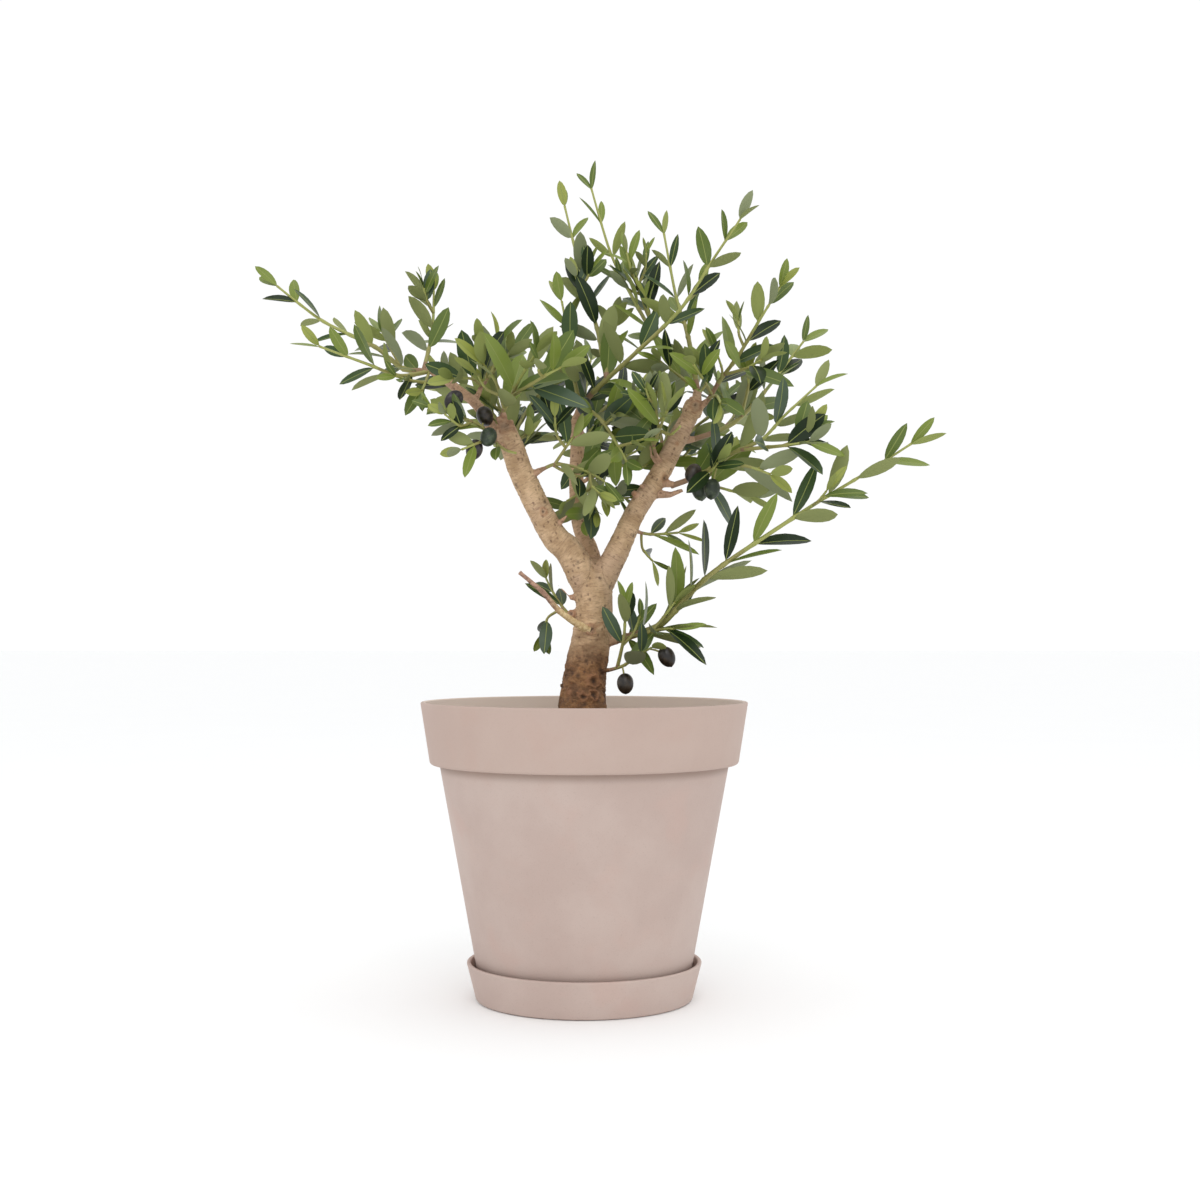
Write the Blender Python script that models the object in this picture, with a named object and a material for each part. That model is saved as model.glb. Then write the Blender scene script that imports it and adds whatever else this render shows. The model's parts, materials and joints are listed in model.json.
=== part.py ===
"""An olive bonsai in its tapered planter, with a saucer under the pot.

Metres, +Z up, the origin at the middle of the saucer's flat underside. +X is the
side of the long low shoot and -Y is the front.

The pot, saucer and soil are turned. The trunk and its boughs are tapering limbs
along smooth paths, and short spurs on them carry the foliage. Each mass of foliage
is one solid: a stem, the shoots that branch from it, and opposite pairs of leaves
dealt along the shoots by a seeded rule.
"""

import math
import random
from collections import namedtuple

import bmesh
import bpy
from mathutils import Matrix, Vector
from mathutils.bvhtree import BVHTree

# ---------------------------------------------------------------- sizes
GAP = 0.0003               # between pieces that rest on or meet each other

RIM_R = 0.150              # pot, outside, at the top of the rim
RIM_TOP_Z = 0.2704
BAND_R = 0.1411            # pot, outside, at the foot of the rim's band
BAND_Z = 0.2139
BODY_TOP_R = 0.1325        # pot, outside, just under the band
BODY_SLOPE = 0.183         # how far the wall leans out for each metre up
WALL = 0.0045
POT_FLOOR = 0.006
LIP = 0.0020               # rounding of the rim's edges
LIP_CHAMFER = 0.0005       # and of their corners
POT_FOOT_ROUND = 0.0020
POT_INNER_ROUND = 0.003
BAND_EDGE = 0.0010
POT_SEGMENTS = 36

SAUCER_H = 0.034
SAUCER_R = 0.1076          # outside, at the lip
SAUCER_FOOT_R = 0.0988
SAUCER_WALL = 0.0040
SAUCER_FLOOR = 0.0045
SAUCER_FLOOR_R = 0.0965    # inside
SAUCER_FOOT_ROUND = 0.0015
SAUCER_INNER_ROUND = 0.0010
SAUCER_LIP = 0.0022        # the lip's rounding
SAUCER_LIP_DROP = 0.0050   # the lip begins this far under the top

SOIL_TOP_Z = 0.243
SOIL_CROWN = 0.004         # the soil's middle stands this much above its edge
SOIL_COLLAR_R = 0.040      # the flat of soil that the trunk stands on
SOIL_FOOT_CHAMFER = 0.005

TRUNK_SIDES = 12
LIMB_SIDES = 8
THIN_LIMB_SIDES = 6        # of a limb under 6 mm in radius
SPUR_SIDES = 5
LIMB_PIECES = 2            # tube pieces between two of a limb's points
TWIG_SIDES = 3
LEAF_THICK = 0.0010        # of a leaf at its middle
LEAF_WIDEST = 0.45         # where a leaf is widest, from its root
SPINDLE_FULL = 1.2         # a leaf's spindle is this much wider, to cover a full blade
SPINDLE_SIDE = math.sin(math.tau / 3)
OUTER_FROM = 0.25          # the outer part of a leaf, for its clearance in its own mass
TRIES = 4                  # for a leaf to find a free side
SPACE_REACH = 0.050        # how far a mass's space goes past its shoots
CLEAR = 0.0006             # kept between a leaf and its neighbours in other masses
# No leaf hangs before these boughs, up to these heights.
OPEN_BOUGHS = {"left_bough": 0.500, "right_bough": 0.548}
OPEN_EDGE = 0.003          # and this far aside of them
OPEN_PIECES = 6            # places between two of their points
OPEN_SHARES = (0.3, 0.65, 1.0)    # of a leaf's length, where that is tried
FALLEN = 0.10              # share of the leaves that have dropped

# ---------------------------------------------------------------- limbs
# A limb is a path of points, each with a radius. It is carried by an arm of another
# limb, which starts at "foot", inside that limb, and is cut flat 0.3 mm before the
# new limb's first point.
Limb = namedtuple("Limb", "name carrier foot foot_radius points")

LIMBS = (
    Limb("trunk", None, None, None, (
        ((-0.002, 0.000, SOIL_TOP_Z + GAP), 0.0265),
        ((-0.002, 0.000, 0.268), 0.0222),
        ((0.000, 0.001, 0.290), 0.0200),
        ((0.005, 0.001, 0.319), 0.0186),
        ((0.009, 0.000, 0.354), 0.0168),
        ((0.008, 0.000, 0.374), 0.0178),
        ((0.009, 0.001, 0.389), 0.0150),
    )),
    Limb("left_bough", "trunk", (0.004, -0.001, 0.376), 0.0145, (
        ((-0.0125, -0.0045, 0.4065), 0.0134),
        ((-0.026, -0.008, 0.420), 0.0124),
        ((-0.039, -0.012, 0.442), 0.0114),
        ((-0.056, -0.018, 0.476), 0.0112),
        ((-0.065, -0.022, 0.502), 0.0108),
        ((-0.072, -0.024, 0.521), 0.0088),
    )),
    Limb("right_bough", "trunk", (0.014, 0.000, 0.378), 0.0135, (
        ((0.0300, 0.0010, 0.4080), 0.0111),
        ((0.046, 0.005, 0.443), 0.0098),
        ((0.069, 0.010, 0.479), 0.0094),
        ((0.087, 0.015, 0.515), 0.0088),
        ((0.106, 0.020, 0.549), 0.0074),
    )),
    Limb("middle_bough", "trunk", (0.009, 0.005, 0.380), 0.0105, (
        ((0.0065, 0.0170, 0.4060), 0.0080),
        ((-0.004, 0.030, 0.434), 0.0074),
        ((-0.008, 0.037, 0.470), 0.0070),
        ((-0.007, 0.045, 0.513), 0.0066),
        ((-0.009, 0.048, 0.535), 0.0060),
    )),
    Limb("left_limb", "left_bough", (-0.0665, -0.0220, 0.5050), 0.0064, (
        ((-0.0835, -0.0215, 0.5200), 0.0053),
        ((-0.098, -0.020, 0.541), 0.0048),
        ((-0.117, -0.015, 0.557), 0.0044),
        ((-0.131, -0.012, 0.568), 0.0042),
    )),
    Limb("dead_twig", "trunk", (0.0060, -0.0080, 0.3340), 0.0050, (
        ((-0.0030, -0.0215, 0.3395), 0.0034),
        ((-0.022, -0.034, 0.353), 0.0027),
        ((-0.037, -0.045, 0.370), 0.0022),
        ((-0.057, -0.055, 0.387), 0.0017),
    )),
)

# ---------------------------------------------------------------- foliage
# A shoot leaves its parent at a share of the parent's length and runs through its
# points to its tip.
Shoot = namedtuple("Shoot", "parent at way")

# A fruit hangs by a stalk from a shoot, at a share of its length.
Fruit = namedtuple("Fruit", "shoot at centre")

# A mass has the limb that carries it, the foot of its spur inside that limb, the point
# where its stem starts, 0.3 mm past the spur's end, the length of its leaves and their
# width over their length, its number of seeded side twigs, its shoots (the first is its
# stem) and its fruit. Its name is its seed.
Mass = namedtuple("Mass", "name limb foot start leaf wide twigs shoots fruit")

OLIVE_R = 0.0075
STALK_R = 0.0012
OLIVE_LONG = 1.28          # an olive's length over its width
OVAL = 0.42
BROAD = 0.34
LANCE = 0.25
SLIM = 0.20

MASSES = (
    Mass("left_outer_foliage", "left_limb", (-0.1280, -0.0125, 0.5655), (-0.1370, -0.0105, 0.5735),
         0.038, BROAD, 1, (
        Shoot(0, 0.00, ((-0.166, -0.005, 0.576), (-0.193, 0.000, 0.597),
                        (-0.242, 0.008, 0.622), (-0.287, 0.018, 0.657))),
        Shoot(0, 0.03, ((-0.166, -0.030, 0.566), (-0.192, -0.040, 0.574),
                        (-0.236, -0.052, 0.589))),
        Shoot(0, 0.09, ((-0.142, 0.018, 0.615), (-0.142, 0.032, 0.655))),
        Shoot(0, 0.28, ((-0.188, 0.014, 0.612),)),
        Shoot(0, 0.04, ((-0.146, -0.034, 0.552),)),
    ), ()),
    Mass("left_upper_foliage", "left_limb", (-0.100, -0.019, 0.543), (-0.096, -0.016, 0.555),
         0.038, OVAL, 1, (
        Shoot(0, 0.00, ((-0.085, -0.008, 0.572), (-0.083, 0.000, 0.592),
                        (-0.081, 0.002, 0.605))),
        Shoot(0, 0.20, ((-0.091, -0.025, 0.579), (-0.093, -0.040, 0.592))),
        Shoot(0, 0.30, ((-0.074, 0.020, 0.590), (-0.062, 0.036, 0.600))),
        Shoot(0, 0.08, ((-0.102, -0.040, 0.562), (-0.116, -0.052, 0.560))),
    ), ()),
    Mass("left_low_foliage", "left_bough", (-0.063, -0.021, 0.496), (-0.076, -0.036, 0.502),
         0.030, OVAL, 1, (
        Shoot(0, 0.00, ((-0.093, -0.045, 0.519), (-0.112, -0.052, 0.526),
                        (-0.135, -0.056, 0.534))),
        Shoot(0, 0.12, ((-0.095, -0.055, 0.502), (-0.108, -0.060, 0.496))),
        Shoot(0, 0.05, ((-0.078, -0.047, 0.500),)),
    ), (
        Fruit(0, 0.15, (-0.098, -0.048, 0.497)),
        Fruit(0, 0.55, (-0.116, -0.054, 0.541)),
        Fruit(0, 0.08, (-0.085, -0.052, 0.508)),
        Fruit(0, 0.30, (-0.089, -0.040, 0.528)),
    )),
    Mass("left_front_foliage", "left_bough", (-0.0700, -0.0235, 0.5160), (-0.0745, -0.0265, 0.5310),
         0.052, BROAD, 1, (
        Shoot(0, 0.00, ((-0.070, -0.034, 0.538), (-0.056, -0.060, 0.560),
                        (-0.042, -0.080, 0.578))),
        Shoot(0, 0.20, ((-0.078, -0.050, 0.556), (-0.088, -0.064, 0.570))),
        Shoot(0, 0.45, ((-0.036, -0.088, 0.556), (-0.020, -0.104, 0.562))),
    ), ()),
    Mass("left_back_foliage", "left_bough", (-0.058, -0.0185, 0.480), (-0.063, 0.000, 0.486),
         0.044, BROAD, 1, (
        Shoot(0, 0.00, ((-0.072, 0.030, 0.520), (-0.084, 0.060, 0.556),
                        (-0.096, 0.098, 0.590))),
        Shoot(0, 0.25, ((-0.056, 0.076, 0.548), (-0.040, 0.108, 0.576))),
        Shoot(0, 0.35, ((-0.100, 0.060, 0.556), (-0.124, 0.082, 0.578))),
        Shoot(0, 0.15, ((-0.072, 0.066, 0.520), (-0.076, 0.096, 0.530))),
    ), ()),
    Mass("leader_foliage", "middle_bough", (-0.0090, 0.0480, 0.5300), (-0.0060, 0.0475, 0.5450),
         0.043, BROAD, 2, (
        Shoot(0, 0.00, ((0.006, 0.037, 0.558), (0.024, 0.020, 0.573), (0.050, 0.000, 0.594),
                        (0.088, -0.025, 0.628), (0.115, -0.045, 0.667),
                        (0.139, -0.060, 0.701))),
        Shoot(0, 0.31, ((0.016, 0.032, 0.599), (0.0115, 0.050, 0.623), (-0.003, 0.068, 0.676),
                        (-0.020, 0.083, 0.748))),
        Shoot(0, 0.04, ((0.014, 0.006, 0.532), (0.028, -0.020, 0.508),
                        (0.038, -0.038, 0.488))),
        Shoot(0, 0.03, ((-0.011, 0.030, 0.578), (-0.014, 0.042, 0.605),
                        (-0.022, 0.052, 0.649))),
    ), (
        Fruit(0, 0.05, (0.000, 0.024, 0.545)),
    )),
    Mass("top_foliage", "right_bough", (0.1040, 0.0195, 0.5450), (0.1075, 0.0210, 0.5580),
         0.040, LANCE, 1, (
        Shoot(0, 0.00, ((0.100, 0.028, 0.568), (0.075, 0.040, 0.602), (0.063, 0.050, 0.621),
                        (0.043, 0.060, 0.659), (0.024, 0.066, 0.700), (0.006, 0.071, 0.762))),
        Shoot(0, 0.06, ((0.098, 0.024, 0.605), (0.093, 0.030, 0.627), (0.086, 0.036, 0.651),
                        (0.075, 0.043, 0.712))),
        Shoot(0, 0.42, ((0.054, 0.062, 0.656), (0.050, 0.064, 0.674))),
        Shoot(0, 0.08, ((0.086, 0.004, 0.572), (0.070, -0.010, 0.582))),
    ), ()),
    Mass("right_upper_foliage", "right_bough", (0.1005, 0.0185, 0.5390), (0.1130, 0.0110, 0.5460),
         0.040, BROAD, 1, (
        Shoot(0, 0.00, ((0.125, 0.000, 0.566), (0.140, -0.020, 0.585), (0.152, -0.035, 0.605),
                        (0.162, -0.050, 0.621), (0.174, -0.060, 0.640))),
        Shoot(0, 0.22, ((0.126, -0.012, 0.575), (0.121, -0.016, 0.589))),
        Shoot(0, 0.25, ((0.146, -0.034, 0.572), (0.158, -0.050, 0.577))),
        Shoot(0, 0.08, ((0.110, -0.026, 0.560), (0.098, -0.050, 0.573))),
        Shoot(0, 0.05, ((0.120, -0.028, 0.548), (0.122, -0.052, 0.538))),
    ), ()),
    Mass("right_outer_foliage", "right_bough", (0.0850, 0.0145, 0.5110), (0.0990, 0.0200, 0.5130),
         0.044, BROAD, 2, (
        Shoot(0, 0.00, ((0.136, 0.032, 0.528), (0.163, 0.045, 0.553), (0.186, 0.055, 0.582),
                        (0.209, 0.062, 0.612))),
        Shoot(0, 0.35, ((0.152, 0.010, 0.562), (0.150, 0.000, 0.574))),
        Shoot(0, 0.22, ((0.146, 0.064, 0.545), (0.152, 0.084, 0.560))),
    ), ()),
    Mass("right_low_foliage", "right_bough", (0.0650, 0.0090, 0.4730), (0.0800, 0.0040, 0.4690),
         0.047, BROAD, 1, (
        Shoot(0, 0.00, ((0.108, -0.010, 0.479), (0.135, -0.030, 0.496), (0.159, -0.050, 0.506),
                        (0.177, -0.060, 0.525), (0.206, -0.062, 0.552))),
        Shoot(0, 0.45, ((0.176, -0.074, 0.498), (0.196, -0.084, 0.500))),
        Shoot(0, 0.30, ((0.146, -0.050, 0.482), (0.164, -0.064, 0.474))),
        Shoot(0, 0.10, ((0.122, 0.002, 0.468), (0.152, 0.008, 0.460))),
    ), (
        Fruit(0, 0.14, (0.106, -0.006, 0.464)),
        Fruit(0, 0.22, (0.099, -0.024, 0.478)),
        Fruit(0, 0.30, (0.116, -0.022, 0.464)),
    )),
    Mass("right_back_foliage", "right_bough", (0.0560, 0.0070, 0.4580), (0.0600, 0.0235, 0.4630),
         0.044, OVAL, 1, (
        Shoot(0, 0.00, ((0.072, 0.050, 0.500), (0.086, 0.086, 0.545), (0.098, 0.120, 0.588))),
        Shoot(0, 0.30, ((0.110, 0.080, 0.535), (0.145, 0.108, 0.560))),
        Shoot(0, 0.40, ((0.068, 0.100, 0.545), (0.052, 0.124, 0.562))),
        Shoot(0, 0.20, ((0.086, 0.076, 0.500), (0.108, 0.100, 0.508))),
    ), ()),
    Mass("inner_right_foliage", "right_bough", (0.0730, 0.0110, 0.4870), (0.0660, -0.0020, 0.4950),
         0.041, BROAD, 1, (
        Shoot(0, 0.00, ((0.060, -0.014, 0.515), (0.048, -0.022, 0.540))),
        Shoot(0, 0.25, ((0.070, -0.034, 0.522), (0.074, -0.044, 0.532))),
    ), ()),
    Mass("inner_foliage", "middle_bough", (-0.0080, 0.0370, 0.4720), (0.0020, 0.0300, 0.4780),
         0.044, BROAD, 2, (
        Shoot(0, 0.00, ((0.010, 0.014, 0.474), (0.018, -0.004, 0.458))),
        Shoot(0, 0.20, ((0.028, 0.018, 0.492), (0.048, 0.012, 0.502))),
        Shoot(0, 0.30, ((0.004, 0.016, 0.452), (0.000, 0.008, 0.438))),
    ), ()),
    Mass("inner_left_foliage", "left_bough", (-0.0540, -0.0170, 0.4720), (-0.0420, -0.0230, 0.4790),
         0.044, BROAD, 1, (
        Shoot(0, 0.00, ((-0.025, -0.030, 0.486), (0.000, -0.035, 0.480), (0.018, -0.038, 0.470))),
        Shoot(0, 0.30, ((-0.016, -0.042, 0.500), (-0.010, -0.046, 0.508))),
    ), ()),
    Mass("back_foliage", "middle_bough", (-0.0080, 0.0400, 0.4880), (-0.0080, 0.0530, 0.4960),
         0.044, BROAD, 1, (
        Shoot(0, 0.00, ((-0.004, 0.085, 0.534), (0.000, 0.120, 0.572), (0.005, 0.150, 0.608))),
        Shoot(0, 0.30, ((0.025, 0.118, 0.560), (0.055, 0.150, 0.580))),
        Shoot(0, 0.35, ((-0.034, 0.124, 0.562), (-0.060, 0.150, 0.590))),
        Shoot(0, 0.20, ((0.000, 0.112, 0.526), (0.006, 0.140, 0.520))),
    ), ()),
    Mass("right_under_foliage", "right_bough", (0.0400, 0.0035, 0.4300), (0.0490, 0.0110, 0.4270),
         0.040, SLIM, 0, (
        Shoot(0, 0.00, ((0.063, 0.018, 0.425), (0.087, 0.026, 0.427))),
        Shoot(0, 0.15, ((0.054, 0.020, 0.412), (0.063, 0.024, 0.401))),
    ), ()),
    Mass("low_right_shoot_foliage", "trunk", (0.0050, 0.0000, 0.3220), (0.0270, -0.0020, 0.3260),
         0.054, LANCE, 1, (
        Shoot(0, 0.00, ((0.047, -0.010, 0.332), (0.071, -0.020, 0.342), (0.094, -0.030, 0.367),
                        (0.115, -0.045, 0.387), (0.152, -0.055, 0.413), (0.207, -0.070, 0.449),
                        (0.245, -0.075, 0.472), (0.287, -0.080, 0.499))),
        Shoot(0, 0.05, ((0.068, -0.034, 0.336), (0.080, -0.044, 0.337))),
    ), ()),
    Mass("low_right_tuft_foliage", "trunk", (0.0010, -0.0010, 0.2950), (0.0210, -0.0110, 0.2990),
         0.040, BROAD, 0, (
        Shoot(0, 0.00, ((0.036, -0.026, 0.304), (0.050, -0.038, 0.314), (0.060, -0.046, 0.320))),
        Shoot(0, 0.20, ((0.036, -0.034, 0.330), (0.037, -0.036, 0.356))),
    ), (
        Fruit(0, 0.30, (0.037, -0.044, 0.288)),
        Fruit(0, 0.95, (0.074, -0.048, 0.312)),
    )),
    Mass("low_left_tuft_foliage", "trunk", (0.0070, 0.0010, 0.3380), (-0.0080, 0.0120, 0.3440),
         0.034, BROAD, 0, (
        Shoot(0, 0.00, ((-0.024, 0.024, 0.362), (-0.036, 0.030, 0.384))),
        Shoot(0, 0.35, ((-0.034, 0.028, 0.348), (-0.038, 0.030, 0.334))),
    ), ()),
)

# ---------------------------------------------------------------- materials
# colour, roughness, metallic
FINISHES = {
    "planter": ((0.565, 0.447, 0.391), 0.62, 0.0),
    "soil": ((0.060, 0.040, 0.028), 0.95, 0.0),
    "bark": ((0.440, 0.300, 0.185), 0.78, 0.0),
    "leaves": ((0.085, 0.150, 0.055), 0.42, 0.0),
}


def finish(name):
    """The material of this name, made the first time that it is asked for."""
    material = bpy.data.materials.get(name)
    if material is None:
        colour, roughness, metallic = FINISHES[name]
        material = bpy.data.materials.new(name)
        material.use_nodes = True
        shader = material.node_tree.nodes["Principled BSDF"]
        shader.inputs["Base Color"].default_value = (*colour, 1.0)
        shader.inputs["Roughness"].default_value = roughness
        shader.inputs["Metallic"].default_value = metallic
    return material


def as_object(name, bm, material, collection=None):
    """Turn a bmesh into an object in the scene, or in a collection."""
    mesh = bpy.data.meshes.new(name)
    bm.to_mesh(mesh)
    bm.free()
    piece = bpy.data.objects.new(name, mesh)
    piece.data.materials.append(finish(material))
    (collection or bpy.context.scene.collection).objects.link(piece)
    return piece


# ---------------------------------------------------------------- turned pieces
def turned(name, profile, material, segments=POT_SEGMENTS):
    """Spin a closed profile of (radius, height) about the Z axis."""
    bm = bmesh.new()
    corners = [bm.verts.new((radius, 0.0, height)) for radius, height in profile]
    edges = [bm.edges.new(pair) for pair in zip(corners, corners[1:])]
    bmesh.ops.spin(bm, geom=corners + edges, cent=(0, 0, 0), axis=(0, 0, 1),
                   angle=math.tau, steps=segments, use_merge=True)
    bmesh.ops.remove_doubles(bm, verts=bm.verts, dist=1e-6)
    bmesh.ops.recalc_face_normals(bm, faces=bm.faces)
    piece = as_object(name, bm, material)
    piece.data.shade_smooth()
    piece.data.set_sharp_from_angle(angle=math.radians(35))
    return piece


def body_radius(height):
    """The pot's outer radius under its band."""
    return BODY_TOP_R - BODY_SLOPE * (BAND_Z - height)


def inner_radius(height):
    """The pot's inner radius: the wall follows the body, and widens inside the band."""
    if height <= BAND_Z:
        return body_radius(height) - WALL
    share = (height - BAND_Z) / (RIM_TOP_Z - BAND_Z)
    return (BODY_TOP_R - WALL) + share * (RIM_R - WALL - BODY_TOP_R + WALL)


def make_saucer():
    top = SAUCER_H
    turned("saucer", (
        (0.0, 0.0),
        (SAUCER_FOOT_R - SAUCER_FOOT_ROUND, 0.0),
        (SAUCER_FOOT_R, SAUCER_FOOT_ROUND),
        (SAUCER_R - SAUCER_LIP / 2, top - SAUCER_LIP_DROP),
        (SAUCER_R, top - SAUCER_LIP),
        (SAUCER_R - SAUCER_LIP / 4, top - SAUCER_LIP / 4),
        (SAUCER_R - SAUCER_LIP, top),
        (SAUCER_R - SAUCER_WALL, top - SAUCER_LIP / 2),
        (SAUCER_FLOOR_R + SAUCER_INNER_ROUND, SAUCER_FLOOR + SAUCER_FOOT_ROUND),
        (SAUCER_FLOOR_R - SAUCER_INNER_ROUND, SAUCER_FLOOR),
        (0.0, SAUCER_FLOOR),
    ), "planter")


def make_pot():
    foot = SAUCER_FLOOR + GAP
    floor = foot + POT_FLOOR
    turned("pot", (
        (0.0, foot),
        (body_radius(foot) - POT_FOOT_ROUND, foot),
        (body_radius(foot + POT_FOOT_ROUND), foot + POT_FOOT_ROUND),
        (body_radius(BAND_Z), BAND_Z),
        (BAND_R - BAND_EDGE, BAND_Z),
        (BAND_R, BAND_Z + BAND_EDGE),
        (RIM_R, RIM_TOP_Z - LIP),
        (RIM_R - LIP_CHAMFER, RIM_TOP_Z - LIP_CHAMFER),
        (RIM_R - LIP, RIM_TOP_Z),
        (RIM_R - WALL + LIP / 2, RIM_TOP_Z - LIP_CHAMFER),
        (RIM_R - WALL, RIM_TOP_Z - LIP),
        (inner_radius(BAND_Z), BAND_Z),
        (inner_radius(floor + POT_INNER_ROUND), floor + POT_INNER_ROUND),
        (inner_radius(floor) - POT_INNER_ROUND, floor),
        (0.0, floor),
    ), "planter")


def make_soil():
    floor = SAUCER_FLOOR + GAP + POT_FLOOR + GAP
    edge_z = SOIL_TOP_Z - SOIL_CROWN
    turned("soil", (
        (0.0, floor),
        (inner_radius(floor) - SOIL_FOOT_CHAMFER, floor),
        (inner_radius(floor + SOIL_FOOT_CHAMFER) - 2 * GAP, floor + SOIL_FOOT_CHAMFER),
        (inner_radius(BAND_Z) - 2 * GAP, BAND_Z),
        (inner_radius(edge_z) - 2 * GAP, edge_z),
        (SOIL_COLLAR_R, SOIL_TOP_Z),
        (0.0, SOIL_TOP_Z),
    ), "soil")


# ---------------------------------------------------------------- limbs and twigs
def smooth_path(points, pieces):
    """Points along a Catmull-Rom curve, with this many pieces in each span."""
    points = [Vector(point) for point in points]
    before = 2 * points[0] - points[1]
    after = 2 * points[-1] - points[-2]
    ends = [before, *points, after]
    path = []
    for a, b, c, d in zip(ends, ends[1:], ends[2:], ends[3:]):
        for step in range(pieces):
            t = step / pieces
            path.append(0.5 * (2 * b + (c - a) * t + (2 * a - 5 * b + 4 * c - d) * t * t
                               + (3 * b - a - 3 * c + d) * t * t * t))
    path.append(points[-1])
    return path


def along(values, share):
    """The value at a share of the way along a list of evenly counted values."""
    place = share * (len(values) - 1)
    index = min(int(place), len(values) - 2)
    return values[index] + (values[index + 1] - values[index]) * (place - index)


def direction(path, share):
    """The unit direction of a path at a share of the way along it."""
    index = min(int(share * (len(path) - 1)), len(path) - 2)
    return (path[index + 1] - path[index]).normalized()


def frames(path):
    """A matrix at each point, Z along the path, turned as little as possible."""
    found = []
    axis = (path[1] - path[0]).normalized()
    turn = axis.to_track_quat("Z", "Y")
    for index, point in enumerate(path):
        ahead = path[min(index + 1, len(path) - 1)]
        behind = path[max(index - 1, 0)]
        heading = (ahead - behind).normalized()
        turn = axis.rotation_difference(heading) @ turn
        axis = heading
        found.append(Matrix.Translation(point) @ turn.to_matrix().to_4x4())
    return found


def add_tube(bm, path, radii, sides):
    """A closed tube along a path: a disc, pushed out ring by ring."""
    places = [frame @ Matrix.Scale(radius, 4) for frame, radius in zip(frames(path), radii)]
    made = bmesh.ops.create_circle(bm, cap_ends=True, segments=sides, radius=1.0, matrix=places[0])
    foot = made["verts"][0].link_faces[0]
    face = foot
    for here, there in zip(places, places[1:]):
        pushed = bmesh.ops.extrude_face_region(bm, geom=[face])["geom"]
        corners = [item for item in pushed if isinstance(item, bmesh.types.BMVert)]
        if face is not foot:
            bmesh.ops.delete(bm, geom=[face], context="FACES_ONLY")
        face = next(item for item in pushed if isinstance(item, bmesh.types.BMFace))
        bmesh.ops.transform(bm, verts=corners, matrix=there @ here.inverted())


def tube(path, radii, sides):
    bm = bmesh.new()
    add_tube(bm, path, radii, sides)
    bmesh.ops.recalc_face_normals(bm, faces=bm.faces)
    return bm


def even_radii(count, first, last):
    return [first + (last - first) * index / (count - 1) for index in range(count)]


def limb_sides(radius):
    if radius > 0.014:
        return TRUNK_SIDES
    return LIMB_SIDES if radius > 0.006 else THIN_LIMB_SIDES


def limb_path(limb):
    return smooth_path([point for point, _ in limb.points], LIMB_PIECES)


def limb_tube(limb):
    radii = smooth_path([(radius, 0, 0) for _, radius in limb.points], LIMB_PIECES)
    return tube(limb_path(limb), [value.x for value in radii], limb_sides(limb.points[0][1]))


def bodies_of(bm):
    """The connected bodies of a bmesh, each as a list of its faces."""
    left = set(bm.faces)
    bodies = []
    while left:
        body = [left.pop()]
        for face in body:
            for edge in face.edges:
                for neighbour in edge.link_faces:
                    if neighbour in left:
                        left.remove(neighbour)
                        body.append(neighbour)
        bodies.append(body)
    return bodies


def united(name, parts, material, solver="EXACT"):
    """Join bmeshes that cross each other into one closed body.

    Loose scraps are dropped, and so is the wall of a hollow that joining seals, which
    fills it.
    """
    helpers = bpy.data.collections.new(name + "_parts")
    base = as_object(name, parts[0], material)
    for number, part in enumerate(parts[1:]):
        as_object(f"{name}_part_{number}", part, material, helpers)
    union = base.modifiers.new("union", "BOOLEAN")
    union.operation = "UNION"
    union.operand_type = "COLLECTION"
    union.collection = helpers
    union.solver = solver
    bpy.context.view_layer.update()
    joined = bpy.data.meshes.new_from_object(base.evaluated_get(bpy.context.evaluated_depsgraph_get()))
    base.modifiers.remove(union)
    base.data = joined
    for helper in list(helpers.objects):
        bpy.data.objects.remove(helper)
    bpy.data.collections.remove(helpers)

    bm = bmesh.new()
    bm.from_mesh(joined)
    bmesh.ops.dissolve_degenerate(bm, edges=bm.edges, dist=2e-6)
    bmesh.ops.triangulate(bm, faces=bm.faces)
    bodies = sorted(bodies_of(bm), key=len)
    spare = [face for body in bodies[:-1] for face in body]
    bmesh.ops.delete(bm, geom=spare, context="FACES")
    bm.to_mesh(joined)
    bm.free()
    return base


# ---------------------------------------------------------------- the rule of growth
Twig = namedtuple("Twig", "path radii pairs leaf wide turn")
Leaf = namedtuple("Leaf", "root heading up length width arch")

TWIG_R = 0.0013            # at the foot of a twig of no length
TWIG_R_BY_LENGTH = 0.0085  # and this much more for each metre of it
TWIG_R_MOST = 0.0036
TWIG_TIP_R = 0.0010
TWIG_STEP = 0.026          # between the rings of a twig
SIDE_TWIG = (0.022, 0.040)
SIDE_TWIG_AT = (0.25, 0.70)
SIDE_TWIG_PAIRS = 2
SIDE_TWIG_LEAF = 0.8       # its leaves over its parent's

BARE_FOOT = 0.012          # a twig carries no leaf nearer to its foot than this
MOST_BARE = 0.35           # of its length
PAIR_STEP = 0.027          # from one pair of leaves to the next along a shoot
PAIR_TURN = 90             # degrees from each pair to the next
FIRST_TURN = 137.5         # and from a shoot's first pair to that of the mass's next shoot
PAIR_VARIES = 28
TIP_LEAF = 0.66            # the last pair's size, over the twig's own
LEAST_LEAF = 0.80          # the size of a pair near the tip
LEAF_SWELL = 0.30          # and what is added to it midway
TIP_SPREAD = 20            # degrees between the last pair and its twig
FOOT_SPREAD = 52           # and at the twig's foot
SPREAD_CLOSES = 16         # degrees less towards the tip
SPREAD_VARIES = 9
LEAF_LIFT = (0.02, 0.22)   # how far a leaf lifts towards the light
LIGHT_TURN = 0.85          # how far a leaf turns one side to the light, which came from the front
LIGHT_VARIES = 0.35
UNDERSIDES = 0.30          # share of the leaves that turn their underside to it
FACE_UP = 0.40             # how far the upper sides turn up
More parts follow.
